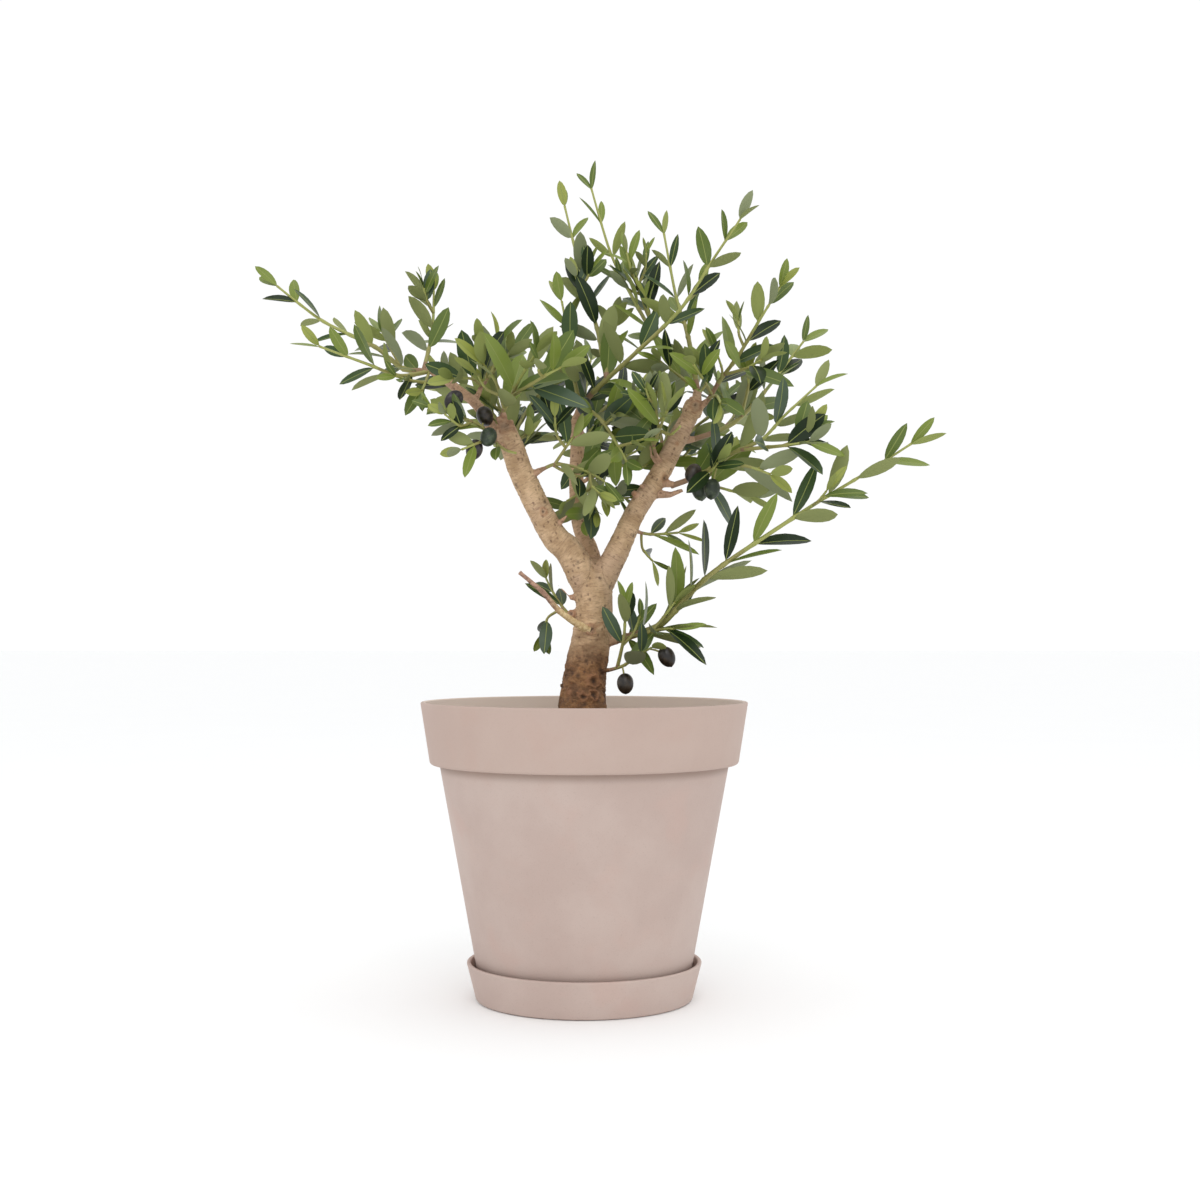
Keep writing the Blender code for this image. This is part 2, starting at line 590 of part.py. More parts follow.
LENGTH_VARIES = (0.86, 1.14)
WIDTH_VARIES = (0.85, 1.12)
LEAF_ARCH = (-0.02, 0.20)  # how far a leaf's tip drops, over its length


def length_of(points):
    return sum((Vector(b) - Vector(a)).length for a, b in zip(points, points[1:]))


def twig_along(points, pairs, leaf, wide, turn):
    """A twig through these points, as thick as its length asks."""
    length = length_of(points)
    pieces = max(2, round(length / (len(points) - 1) / TWIG_STEP))
    path = smooth_path(points, pieces)
    foot = min(TWIG_R + TWIG_R_BY_LENGTH * length, TWIG_R_MOST)
    return Twig(path, even_radii(len(path), foot, TWIG_TIP_R), pairs, leaf, wide, turn)


def twigs_of(mass, rng):
    """The mass's stem and shoots, then its seeded side twigs."""
    twigs = []
    for number, shoot in enumerate(mass.shoots):
        start = along(twigs[shoot.parent].path, shoot.at) if twigs else Vector(mass.start)
        points = (start, *shoot.way)
        pairs = max(1, round(length_of(points) / PAIR_STEP))
        twigs.append(twig_along(points, pairs, mass.leaf, mass.wide, FIRST_TURN * number))
    for _ in range(mass.twigs):
        parent = twigs[rng.randrange(len(mass.shoots))]
        share = rng.uniform(*SIDE_TWIG_AT)
        length = rng.uniform(*SIDE_TWIG)
        heading = direction(parent.path, share)
        side = heading.orthogonal().normalized()
        side.rotate(Matrix.Rotation(rng.uniform(0, math.tau), 3, heading))
        start = along(parent.path, share)
        middle = start + (heading * 0.5 + side * 0.7).normalized() * length * 0.5
        tip = middle + (heading * 0.7 + side * 0.4 + Vector((0, 0, 0.4))).normalized() * length * 0.5
        twigs.append(twig_along((start, middle, tip), SIDE_TWIG_PAIRS, parent.leaf * SIDE_TWIG_LEAF,
                                parent.wide, rng.uniform(0, PAIR_TURN)))
    return twigs


def leaf_places(twig):
    """Where each of a twig's leaves sits: its pair, the side it is on, the place."""
    bare = min(BARE_FOOT / (twig.path[-1] - twig.path[0]).length, MOST_BARE)
    places = []
    for pair in range(twig.pairs + 1):
        last = pair == twig.pairs
        share = 1.0 if last else bare + (1.0 - bare) * (pair + 0.5) / (twig.pairs + 0.4)
        places += [(pair, 1, share, last), (pair, -1, share, last)]
    return places


def leaf_at(twig, place, rng):
    """One leaf of an opposite pair; each pair is turned a quarter from the last."""
    pair, way, share, last = place
    heading = direction(twig.path, share)
    side = heading.orthogonal().normalized()
    turn = twig.turn + PAIR_TURN * pair + rng.uniform(-PAIR_VARIES, PAIR_VARIES)
    side.rotate(Matrix.Rotation(math.radians(turn), 3, heading))
    size = TIP_LEAF if last else LEAST_LEAF + LEAF_SWELL * math.sin(math.pi * min(share + 0.12, 1.0))
    spread = TIP_SPREAD if last else FOOT_SPREAD - SPREAD_CLOSES * share
    spread = math.radians(spread + rng.uniform(-SPREAD_VARIES, SPREAD_VARIES))
    lean = heading * math.cos(spread) + side * way * math.sin(spread)
    lean = (lean + Vector((0, 0, rng.uniform(*LEAF_LIFT)))).normalized()
    face = heading * math.sin(spread) - side * way * math.cos(spread)
    light = LIGHT_TURN if rng.random() < UNDERSIDES else -LIGHT_TURN
    light += rng.uniform(-LIGHT_VARIES, LIGHT_VARIES)
    face = face * 0.5 + Vector((rng.uniform(-LIGHT_VARIES, LIGHT_VARIES), light, FACE_UP))
    face = (face - lean * face.dot(lean)).normalized()
    length = twig.leaf * size * rng.uniform(*LENGTH_VARIES)
    width = length * twig.wide * rng.uniform(*WIDTH_VARIES)
    return Leaf(along(twig.path, min(share, 0.995)), lean, face, length, width, rng.uniform(*LEAF_ARCH))


def blade_point(leaf, share, across=0.0, above=0.0):
    """A point of a leaf: a share of its length out, and metres across and above."""
    side = leaf.heading.cross(leaf.up)
    sag = leaf.arch * leaf.length * share * share
    return leaf.root + leaf.heading * leaf.length * share + side * across + leaf.up * (above - sag)


def leaf_solid(leaf, start=0.0, spare=0.0):
    """A spindle of six faces, flat above with a low keel under it, rooted on the twig's axis."""
    bm = bmesh.new()
    bmesh.ops.create_uvsphere(bm, u_segments=3, v_segments=2, radius=1.0)
    for vert in bm.verts:
        keel, across, end = vert.co
        share = max(start, LEAF_WIDEST if abs(end) < 0.5 else (end + 1.0) / 2.0)
        half_width = across / SPINDLE_SIDE * (leaf.width / 2 * SPINDLE_FULL + spare)
        vert.co = blade_point(leaf, share, half_width, -keel * (LEAF_THICK / 1.5 + spare))
    bmesh.ops.recalc_face_normals(bm, faces=bm.faces)
    return bm


def olive_solid(centre):
    bm = bmesh.new()
    bmesh.ops.create_uvsphere(bm, u_segments=7, v_segments=5, radius=OLIVE_R,
                              matrix=Matrix.Translation(centre) @ Matrix.Diagonal((1, 1, OLIVE_LONG, 1)))
    return bm


class Taken:
    """The room that limbs, twigs, leaves and fruit have taken, each with its owner."""

    def __init__(self):
        self.solids = []

    def add(self, bm, owner):
        self.solids.append((corners_of(bm), BVHTree.FromBMesh(bm), owner))

    def meets(self, bm, wanted):
        """Whether a solid cuts one whose owner is wanted."""
        box = corners_of(bm)
        own = BVHTree.FromBMesh(bm)
        return any(wanted(owner) and boxes_meet(box, other) and own.overlap(tree)
                   for other, tree, owner in self.solids)


def corners_of(bm):
    places = [vert.co for vert in bm.verts]
    return ([min(place[axis] for place in places) for axis in range(3)],
            [max(place[axis] for place in places) for axis in range(3)])


def boxes_meet(box, other):
    return all(box[0][axis] <= other[1][axis] and other[0][axis] <= box[1][axis] for axis in range(3))


def in_space(leaf, space):
    """Whether a leaf's tip keeps to the box round its mass."""
    tip = blade_point(leaf, 1.0)
    return all(low <= value <= high for low, value, high in zip(space[0], tip, space[1]))


def space_of(twigs):
    points = [point for twig in twigs for point in twig.path]
    low = [min(point[axis] for point in points) - SPACE_REACH for axis in range(3)]
    high = [max(point[axis] for point in points) + SPACE_REACH for axis in range(3)]
    return low, high


# ---------------------------------------------------------------- the tree
def arm(foot, foot_radius, path, radius, sides):
    """The stub that carries a limb or a stem, cut flat 0.3 mm before its first point."""
    heading = (path[1] - path[0]).normalized()
    end = path[0] - heading * GAP
    return tube([Vector(foot), end - heading * 0.003, end], [foot_radius, radius, radius], sides)


def make_limbs(stems, taken):
    """Each limb with the arms and spurs that carry what grows from it."""
    for limb in LIMBS:
        parts = [limb_tube(limb)]
        for other in LIMBS:
            if other.carrier == limb.name:
                radius = other.points[0][1]
                parts.append(arm(other.foot, other.foot_radius, limb_path(other), radius, limb_sides(radius)))
        for mass in MASSES:
            if mass.limb == limb.name:
                stem = stems[mass.name]
                parts.append(arm(mass.foot, stem.radii[0] * 1.6, stem.path, stem.radii[0] * 1.2, SPUR_SIDES))
        for part in parts:
            taken.add(part, "limb")
        # The exact solver leaves open edges where the fork's three arms cross.
        united(limb.name, parts, "bark", "MANIFOLD" if limb.name == "trunk" else "EXACT")


def twig_tube(twig):
    return tube(twig.path, [radius * 1.25 for radius in twig.radii], TWIG_SIDES)


def keep_twigs(mass, twigs, taken):
    """The mass's twigs that are clear of the limbs and of the other masses' twigs."""
    kept = []
    for twig in twigs:
        bm = twig_tube(twig)
        clear = not taken.meets(bm, lambda owner: owner != mass.name)
        if clear:
            kept.append(twig)
            taken.add(bm, mass.name)
        bm.free()
    return kept


def open_places():
    """Places and radii along the boughs that stand clear of leaves in front."""
    places = []
    for limb in LIMBS:
        if limb.name in OPEN_BOUGHS:
            path = smooth_path([point for point, _ in limb.points], OPEN_PIECES)
            radii = smooth_path([(radius, 0, 0) for _, radius in limb.points], OPEN_PIECES)
            top = OPEN_BOUGHS[limb.name]
            places += [(point, value.x) for point, value in zip(path, radii) if point.z < top]
    return places


def before_bough(leaf, places):
    """Whether a leaf hangs in front of a bough that stands clear."""
    for share in OPEN_SHARES:
        point = blade_point(leaf, share)
        for place, radius in places:
            aside = math.hypot(point.x - place.x, point.z - place.z)
            if point.y < place.y and aside < radius + OPEN_EDGE:
                return True
    return False


BOUGHS_SEEN = open_places()


def free_leaf(mass, number, twig, place, space, taken):
    """The first try of a leaf that is clear of all the others, or nothing.

    The whole leaf stays clear of the limbs and the other masses, and its outer part
    stays clear of its own mass. A few leaves have fallen.
    """
    for attempt in range(TRIES):
        rng = random.Random(f"{mass.name} {number} {place[0]} {place[1]} {attempt}")
        if rng.random() < FALLEN and not place[3]:
            return None
        leaf = leaf_at(twig, place, rng)
        whole = leaf_solid(leaf, spare=CLEAR)
        outer = leaf_solid(leaf, start=OUTER_FROM)
        clear = not (taken.meets(whole, lambda owner: owner != mass.name)
                     or taken.meets(outer, lambda owner: owner == mass.name)
                     or before_bough(leaf, BOUGHS_SEEN))
        if clear and in_space(leaf, space):
            taken.add(whole, mass.name)
        whole.free()
        outer.free()
        if clear and in_space(leaf, space):
            return leaf
    return None


def hang_fruit(mass, twigs, taken):
    """Each fruit with its stalk, where both are clear of the limbs and the other masses."""
    parts = []
    for fruit in mass.fruit:
        centre = Vector(fruit.centre)
        olive = olive_solid(centre)
        stalk = tube([along(twigs[fruit.shoot].path, fruit.at), centre], [STALK_R, STALK_R], TWIG_SIDES)
        if any(taken.meets(part, lambda owner: owner != mass.name) for part in (olive, stalk)):
            continue
        for part in (olive, stalk):
            taken.add(part, mass.name)
            parts.append(part)
    return parts


def make_mass(mass, twigs, fruit, taken):
    parts = [twig_tube(twig) for twig in twigs] + fruit
    space = space_of(twigs)
    for number, twig in enumerate(twigs):
        for place in leaf_places(twig):
            leaf = free_leaf(mass, number, twig, place, space, taken)
            if leaf:
                parts.append(leaf_solid(leaf))
    united(mass.name, parts, "leaves")


def main():
    for old in list(bpy.data.objects):
        bpy.data.objects.remove(old)
    make_saucer()
    make_pot()
    make_soil()
    taken = Taken()
    growth = {mass.name: twigs_of(mass, random.Random(mass.name)) for mass in MASSES}
    make_limbs({name: twigs[0] for name, twigs in growth.items()}, taken)
    kept = {mass.name: keep_twigs(mass, growth[mass.name], taken) for mass in MASSES}
    fruit = {mass.name: hang_fruit(mass, kept[mass.name], taken) for mass in MASSES}
    for mass in MASSES:
        make_mass(mass, kept[mass.name], fruit[mass.name], taken)


main()
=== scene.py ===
# %% [markdown]
# # An olive bonsai in its planter
# The CAD model is the fixed frame: it says where the pot stands, how each bough runs
# and how far the crown reaches. This lesson dresses it, piece by piece, with finer
# shapes and real finishes: the moulded planter, the potting soil, the bark, the twigs,
# the leaves and the olives.

# %% Load the frame
import json
import math
import random
from collections import namedtuple

import bmesh
import bpy
import numpy as np
from mathutils import Matrix, Vector, noise
from mathutils.bvhtree import BVHTree

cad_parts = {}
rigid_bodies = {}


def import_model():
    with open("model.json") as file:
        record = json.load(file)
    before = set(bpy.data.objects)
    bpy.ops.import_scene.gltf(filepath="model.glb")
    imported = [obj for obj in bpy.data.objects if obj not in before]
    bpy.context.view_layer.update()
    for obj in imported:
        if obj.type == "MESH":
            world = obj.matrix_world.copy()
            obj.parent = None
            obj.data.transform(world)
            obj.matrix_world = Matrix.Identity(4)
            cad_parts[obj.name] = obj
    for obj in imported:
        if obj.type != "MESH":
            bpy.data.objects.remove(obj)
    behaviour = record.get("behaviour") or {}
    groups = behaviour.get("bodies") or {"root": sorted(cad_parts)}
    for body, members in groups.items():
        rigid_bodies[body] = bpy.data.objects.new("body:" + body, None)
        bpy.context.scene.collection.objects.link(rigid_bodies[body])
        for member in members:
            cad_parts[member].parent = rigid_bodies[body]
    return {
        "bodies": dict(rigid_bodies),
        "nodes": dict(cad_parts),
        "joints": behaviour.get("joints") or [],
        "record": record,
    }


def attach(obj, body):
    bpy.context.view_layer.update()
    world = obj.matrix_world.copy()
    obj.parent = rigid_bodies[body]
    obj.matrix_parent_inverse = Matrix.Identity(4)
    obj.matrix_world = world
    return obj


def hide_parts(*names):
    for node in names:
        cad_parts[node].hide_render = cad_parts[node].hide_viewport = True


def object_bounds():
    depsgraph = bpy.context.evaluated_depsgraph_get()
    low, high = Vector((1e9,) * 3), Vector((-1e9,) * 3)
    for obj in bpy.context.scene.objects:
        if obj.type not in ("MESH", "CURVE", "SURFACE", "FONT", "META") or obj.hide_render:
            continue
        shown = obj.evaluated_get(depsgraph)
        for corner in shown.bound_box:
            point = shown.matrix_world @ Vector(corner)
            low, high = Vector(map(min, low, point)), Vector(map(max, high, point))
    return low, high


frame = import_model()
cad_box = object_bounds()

NODES = sorted(frame["nodes"])
print(len(NODES), "solids in the frame")

# %% [markdown]
# ## The studio
# A potted tree for a catalogue is lit almost evenly: a bright room all round, a large
# softbox above and in front, and a white floor that throws light back up. The camera
# stands at the height of the pot's rim with a short telephoto lens, so the rim shows
# as a thin ellipse and the tree isn't stretched.

# %% Camera, floor and light
scene = bpy.context.scene
scene.view_settings.view_transform = "Standard"

camera = bpy.data.objects.new("camera", bpy.data.cameras.new("camera"))
camera.data.sensor_width = 36.0
camera.data.lens = 52.65
camera.location = (0.0144, -1.614, 0.334)
camera.rotation_euler = (math.radians(91.051), 0.0, 0.0)
scene.collection.objects.link(camera)
scene.camera = camera


def softbox(name, place, target, size, watts):
    """A square area light that looks at a point."""
    light = bpy.data.lights.new(name, "AREA")
    light.shape = "SQUARE"
    light.size = size
    light.energy = watts
    box = bpy.data.objects.new(name, light)
    box.location = place
    box.rotation_euler = (Vector(target) - Vector(place)).to_track_quat("-Z", "Y").to_euler()
    scene.collection.objects.link(box)


softbox("key_light", (0.1, -1.7, 2.2), (0.0, 0.0, 0.40), 1.2, 9)
softbox("top_light", (0.3, 0.4, 2.6), (0.0, 0.0, 0.30), 2.0, 4)

room = bpy.data.worlds.new("room")
room.use_nodes = True
room.node_tree.nodes["Background"].inputs["Color"].default_value = (1.0, 1.0, 1.0, 1.0)
room.node_tree.nodes["Background"].inputs["Strength"].default_value = 1.02
scene.world = room

# %% [markdown]
# ## Writing finishes as sums
# A finish is a small network of shader nodes. Wiring it by hand is slow to read, so a
# Wire stands for the value on a socket, and a sum written on it adds the Math nodes.
# Every other node comes from the finish's one node method.


# %% A wire and a finish
class Wire:
    """The value on a socket. A sum on it adds a Math node."""

    def __init__(self, finish, socket):
        self.finish = finish
        self.socket = socket

    def maths(self, operation, *values):
        return self.finish.node("ShaderNodeMath", {"operation": operation}, dict(enumerate(values)))

    def __add__(self, other):
        return self.maths("ADD", self, other)

    def __sub__(self, other):
        return self.maths("SUBTRACT", self, other)

    def __rsub__(self, other):
        return self.maths("SUBTRACT", other, self)

    def __mul__(self, other):
        return self.maths("MULTIPLY", self, other)

    __radd__ = __add__
    __rmul__ = __mul__

    def between(self, low, high):
        """0 below low, 1 above high, and a smooth step from one to the other."""
        return self.finish.node("ShaderNodeMapRange", {"interpolation_type": "SMOOTHSTEP"},
                                {"Value": self, "From Min": low, "From Max": high})


class Finish:
    """A material. Its node method adds any node and gives back one output as a Wire."""

    def __init__(self, name, **constants):
        self.material = bpy.data.materials.new(name)
        self.material.use_nodes = True
        self.tree = self.material.node_tree
        self.shader = self.tree.nodes["Principled BSDF"]
        for socket, value in constants.items():
            self.shader.inputs[socket.replace("_", " ").title().replace("Ior", "IOR")].default_value = value

    def node(self, kind, settings, values, out=0):
        node = self.tree.nodes.new(kind)
        for name, value in settings.items():
            setattr(node, name, value)
        for key, value in values.items():
            if isinstance(value, Wire):
                self.tree.links.new(value.socket, node.inputs[key])
            else:
                node.inputs[key].default_value = value
        return Wire(self, node.outputs[out])

    def place(self):
        """Where a point is on the piece, in metres."""
        return self.node("ShaderNodeTexCoord", {}, {}, out=3)

    def stretched(self, place, scale):
        return self.node("ShaderNodeVectorMath", {"operation": "MULTIPLY"}, {0: place, 1: scale})

    def noise(self, place, scale, detail=3.0, rough=0.5, twist=0.0):
        return self.node("ShaderNodeTexNoise", {}, {"Vector": place, "Scale": scale, "Detail": detail,
                                                    "Roughness": rough, "Distortion": twist})

    def spots(self, place, scale, radius):
        """1 in the middle of scattered spots, falling to 0 at their edge."""
        distance = self.node("ShaderNodeTexVoronoi", {}, {"Vector": place, "Scale": scale})
        return 1.0 - distance.between(radius * 0.5, radius)

    def mix(self, mask, first, second):
        """The first colour where the mask is 0, the second where it is 1."""
        return self.node("ShaderNodeMix", {"data_type": "RGBA"}, {0: mask, 6: first, 7: second}, out=2)

    def wear(self, socket, wire):
        self.tree.links.new(wire.socket, self.shader.inputs[socket])

    def bump(self, height, depth):
        """Relief from a height of 0 to 1, this many metres deep."""
        normal = self.node("ShaderNodeBump", {}, {"Height": height, "Distance": depth})
        self.wear("Normal", normal)


def colour(red, green, blue):
    """A paint mixed in 0-255 steps, as the linear colour that shaders use."""
    linear = [((value / 255 + 0.055) / 1.055) ** 2.4 for value in (red, green, blue)]
    return (*linear, 1.0)


def piece_from(name, mesh, *finishes):
    """A finished piece of the tree: its materials, its object, and its ride on the part."""
    for finish in finishes:
        mesh.materials.append(finish.material)
    piece = bpy.data.objects.new(name, mesh)
    scene.collection.objects.link(piece)
    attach(piece, "root")
    mesh.calc_loop_triangles()
    print(name, len(mesh.loop_triangles), "triangles")
    return piece


def mesh_from(name, bm):
    mesh = bpy.data.meshes.new(name)
    bm.to_mesh(mesh)
    bm.free()
    return mesh


# %% [markdown]
# ## The floor
# The floor is a plain pale sheet, far larger than the view, so that no edge of it
# shows. It belongs to the stage and not to the tree.

# %% Lay the floor
paper = Finish("studio_paper", roughness=0.9)
paper_tone = paper.noise(paper.place(), 3.0)
paper.wear("Base Color", paper.mix(paper_tone, colour(249, 250, 251), colour(251, 252, 252)))

bm = bmesh.new()
bmesh.ops.create_grid(bm, x_segments=8, y_segments=8, size=30.0)
bmesh.ops.translate(bm, verts=bm.verts, vec=(0.0, 0.0, -0.0004))
floor_mesh = mesh_from("floor", bm)
floor_mesh.materials.append(paper.material)
floor = bpy.data.objects.new("floor", floor_mesh)
scene.collection.objects.link(floor)

# %% [markdown]
# ## The planter
# The pot and its saucer are moulded in one matt, pinkish-grey compound. A turned shape
# is easiest as a profile spun about the upright axis: straight lines for the wall, the
# deep band and the thin rim, with the corners rounded by a bevel afterwards, as the
# mould rounds them. The bevel is small at the lip and wider under the band, where
# the real edge is soft.

# %% Sizes of the planter
GAP = 0.0003
RIM_R, RIM_TOP_Z = 0.150, 0.2704
BAND_R, BAND_Z = 0.1411, 0.2139
BODY_TOP_R, BODY_SLOPE = 0.1325, 0.183
WALL, POT_FLOOR = 0.0045, 0.006
SAUCER_R, SAUCER_H, SAUCER_FOOT_R = 0.1076, 0.034, 0.0988
SAUCER_WALL, SAUCER_FLOOR, SAUCER_FLOOR_R = 0.0040, 0.0045, 0.0965
SOIL_TOP_Z, SOIL_CROWN = 0.243, 0.004
POT_FOOT = SAUCER_FLOOR + GAP
TURNS = 144                # faces round the planter
SAME_POINT, SAME_CORNER = 1e-6, 2e-5    # points this near are one point, or one corner's


def body_radius(height):
    """The pot's outside radius below its band."""
    return BODY_TOP_R - BODY_SLOPE * (BAND_Z - height)


def inner_radius(height):
    """The pot's inside radius."""
    if height <= BAND_Z:
        return body_radius(height) - WALL
    share = (height - BAND_Z) / (RIM_TOP_Z - BAND_Z)
    return (BODY_TOP_R - WALL) + share * (RIM_R - WALL - BODY_TOP_R + WALL)


def spun(profile, steps):
    """A profile of (radius, height), spun about the upright axis."""
    bm = bmesh.new()
    corners = [bm.verts.new((radius, 0.0, height)) for radius, height in profile]
    lines = [bm.edges.new(pair) for pair in zip(corners, corners[1:])]
    bmesh.ops.spin(bm, geom=corners + lines, cent=(0, 0, 0), axis=(0, 0, 1),
                   angle=math.tau, steps=steps, use_merge=True)
    bmesh.ops.remove_doubles(bm, verts=bm.verts, dist=SAME_POINT)
    return bm


def turned(profile, roundings):
    """Spin a profile, then round the corners named by their place in it."""
    bm = spun(profile, TURNS)
    for corner, size in roundings:
        ring = [edge for edge in bm.edges
                if all(abs(math.hypot(*vert.co.xy) - profile[corner][0]) < SAME_CORNER
                       and abs(vert.co.z - profile[corner][1]) < SAME_CORNER for vert in edge.verts)]
        bmesh.ops.bevel(bm, geom=ring, offset=size, offset_type="OFFSET", segments=4,
                        profile=0.5, affect="EDGES", material=-1, clamp_overlap=True)
    bmesh.ops.recalc_face_normals(bm, faces=bm.faces)
    for face in bm.faces:
        face.smooth = True
    return bm


# %% [markdown]
# The compound has fibres in it, so its surface is dull, very slightly grainy and
# clouded: soft darker and pinker patches a hand wide, and faint specks. Noise at three
# scales gives that, read in metres from the piece's own coordinates.

# %% Planter finish
BAND_SHADE_H = 0.010             # painted shade under the band reaches this far down
compound = Finish("planter_compound", roughness=0.66)
spot = compound.place()
cloud = compound.noise(spot, 9.0, detail=4.0, rough=0.6)
patch = compound.noise(spot, 26.0, detail=3.0)
fleck = compound.noise(spot, 900.0, detail=2.0)
fibre = compound.noise(compound.stretched(spot, (1.0, 1.0, 0.25)), 420.0, detail=2.0)
base = compound.mix(cloud.between(0.35, 0.68), colour(187, 166, 157), colour(195, 176, 167))
base = compound.mix(patch.between(0.50, 0.72) * 0.55, base, colour(193, 167, 157))
base = compound.mix(fleck.between(0.56, 0.74) * 0.22, base, colour(156, 133, 121))
height = compound.node("ShaderNodeSeparateXYZ", {}, {0: spot}, out=2)
radius = compound.node("ShaderNodeVectorMath", {"operation": "LENGTH"},
                       {0: compound.stretched(spot, (1.0, 1.0, 0.0))}, out=1)
# Painted shade: the body darkens towards the underside of the band, over the last centimetre below it.
under_band = height.between(BAND_Z - BAND_SHADE_H, BAND_Z - 0.0004)
above_band = height.between(BAND_Z - 0.0003, BAND_Z)
base = compound.mix(under_band * (1.0 - above_band) * 0.70, base, colour(132, 110, 98))
base = compound.mix(above_band * 0.45, base, colour(182, 157, 144))
# Painted light: the inside of the pot's wall above the band is made much paler, as if lit.
slope = (RIM_R - BAND_R) / (RIM_TOP_Z - BAND_Z)
middle = (RIM_R - WALL / 2) - slope * RIM_TOP_Z
inside = (1.0 - (radius - height * slope).between(middle - 0.001, middle)) * above_band
base = compound.mix(inside * 0.85, base, colour(224, 206, 193))
compound.wear("Base Color", base)
compound.wear("Roughness", 0.60 + patch * 0.14)
compound.bump(fleck * 0.5 + fibre * 0.3 + patch * 0.6, 0.00022)

# %% Pot
pot_profile = (
    (0.0, POT_FOOT),
    (body_radius(POT_FOOT), POT_FOOT),
    (BODY_TOP_R, BAND_Z),
    (BAND_R, BAND_Z),
    (RIM_R, RIM_TOP_Z),
    (RIM_R - WALL, RIM_TOP_Z),
    (inner_radius(BAND_Z), BAND_Z),
    (inner_radius(POT_FOOT + POT_FLOOR), POT_FOOT + POT_FLOOR),
    (0.0, POT_FOOT + POT_FLOOR),
)
pot = turned(pot_profile, ((1, 0.0022), (2, 0.0008), (3, 0.0026), (4, 0.0016), (5, 0.0012), (7, 0.0025)))
planter = piece_from("planter", mesh_from("planter", pot), compound)
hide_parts("pot")

# %% [markdown]
# The saucer is a shallow dish with a foot a little narrower than its rim. The pot
# stands in it with a crack of shadow between them.

# %% Saucer
saucer_profile = (
    (0.0, 0.0),
    (SAUCER_FOOT_R, 0.0),
    (SAUCER_R, SAUCER_H),
    (SAUCER_R - SAUCER_WALL, SAUCER_H),
    (SAUCER_FLOOR_R, SAUCER_FLOOR),
    (0.0, SAUCER_FLOOR),
)
dish = turned(saucer_profile, ((1, 0.0018), (2, 0.0016), (3, 0.0012), (4, 0.0012)))
saucer_dish = piece_from("saucer_dish", mesh_from("saucer_dish", dish), compound)
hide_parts("saucer")

# %% [markdown]
# ## The soil
# The pot is filled to a thumb's width under the rim with dark potting soil, a little
# higher round the trunk. Its top is a spun disc whose rings are lifted by noise. Loose
# crumbs of peat, bark chips and a few pale grains lie on it: each is a low ball with
# twenty faces, squashed and turned by a seeded draw, and half sunk.

# %% Soil bed
SOIL_RINGS, SOIL_TURNS = 26, 96
SOIL_SUNK = 0.0006         # the bed lies this far under its solid, so that its lumps stay inside
SOIL_LUMP = 0.0016
BED_Z = 0.205              # the bed's underside, out of sight
peat = Finish("potting_soil", roughness=0.95)
clod = peat.noise(peat.place(), 260.0, detail=5.0, rough=0.65)
damp = peat.noise(peat.place(), 34.0)
loam = peat.mix(clod.between(0.35, 0.70), colour(38, 28, 21), colour(82, 62, 46))
peat.wear("Base Color", peat.mix(damp.between(0.45, 0.65) * 0.5, loam, colour(46, 34, 26)))
peat.bump(clod, 0.0012)


def soil_height(x, y):
    """The height of the soil's top: a low crown, with lumps."""
    share = min(math.hypot(x, y) / inner_radius(SOIL_TOP_Z), 1.0)
    lumps = noise.fractal(Vector((x, y, 0.0)) * 70.0, 0.8, 2.0, 4) * SOIL_LUMP
    return SOIL_TOP_Z - SOIL_SUNK - SOIL_CROWN * share * share + lumps * min(1.0, 8.0 * (1.0 - share) + 0.3)


edge_z = SOIL_TOP_Z - SOIL_CROWN - SOIL_SUNK
wall_r = inner_radius(edge_z) - GAP
line = [(0.0, BED_Z), (inner_radius(BED_Z) - GAP, BED_Z), (wall_r, edge_z)]
line += [(wall_r * (1 - step / SOIL_RINGS), SOIL_TOP_Z) for step in range(1, SOIL_RINGS + 1)]
bed = spun(line, SOIL_TURNS)
for vert in bed.verts:
    if vert.co.z > edge_z + 1e-5:
        vert.co.z = soil_height(vert.co.x, vert.co.y)
bmesh.ops.recalc_face_normals(bed, faces=bed.faces)
soil_bed = piece_from("soil_bed", mesh_from("soil_bed", bed), peat)
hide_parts("soil")

# %% [markdown]
# Crumbs lie at random over the soil, but none stands in the trunk or in the wall.

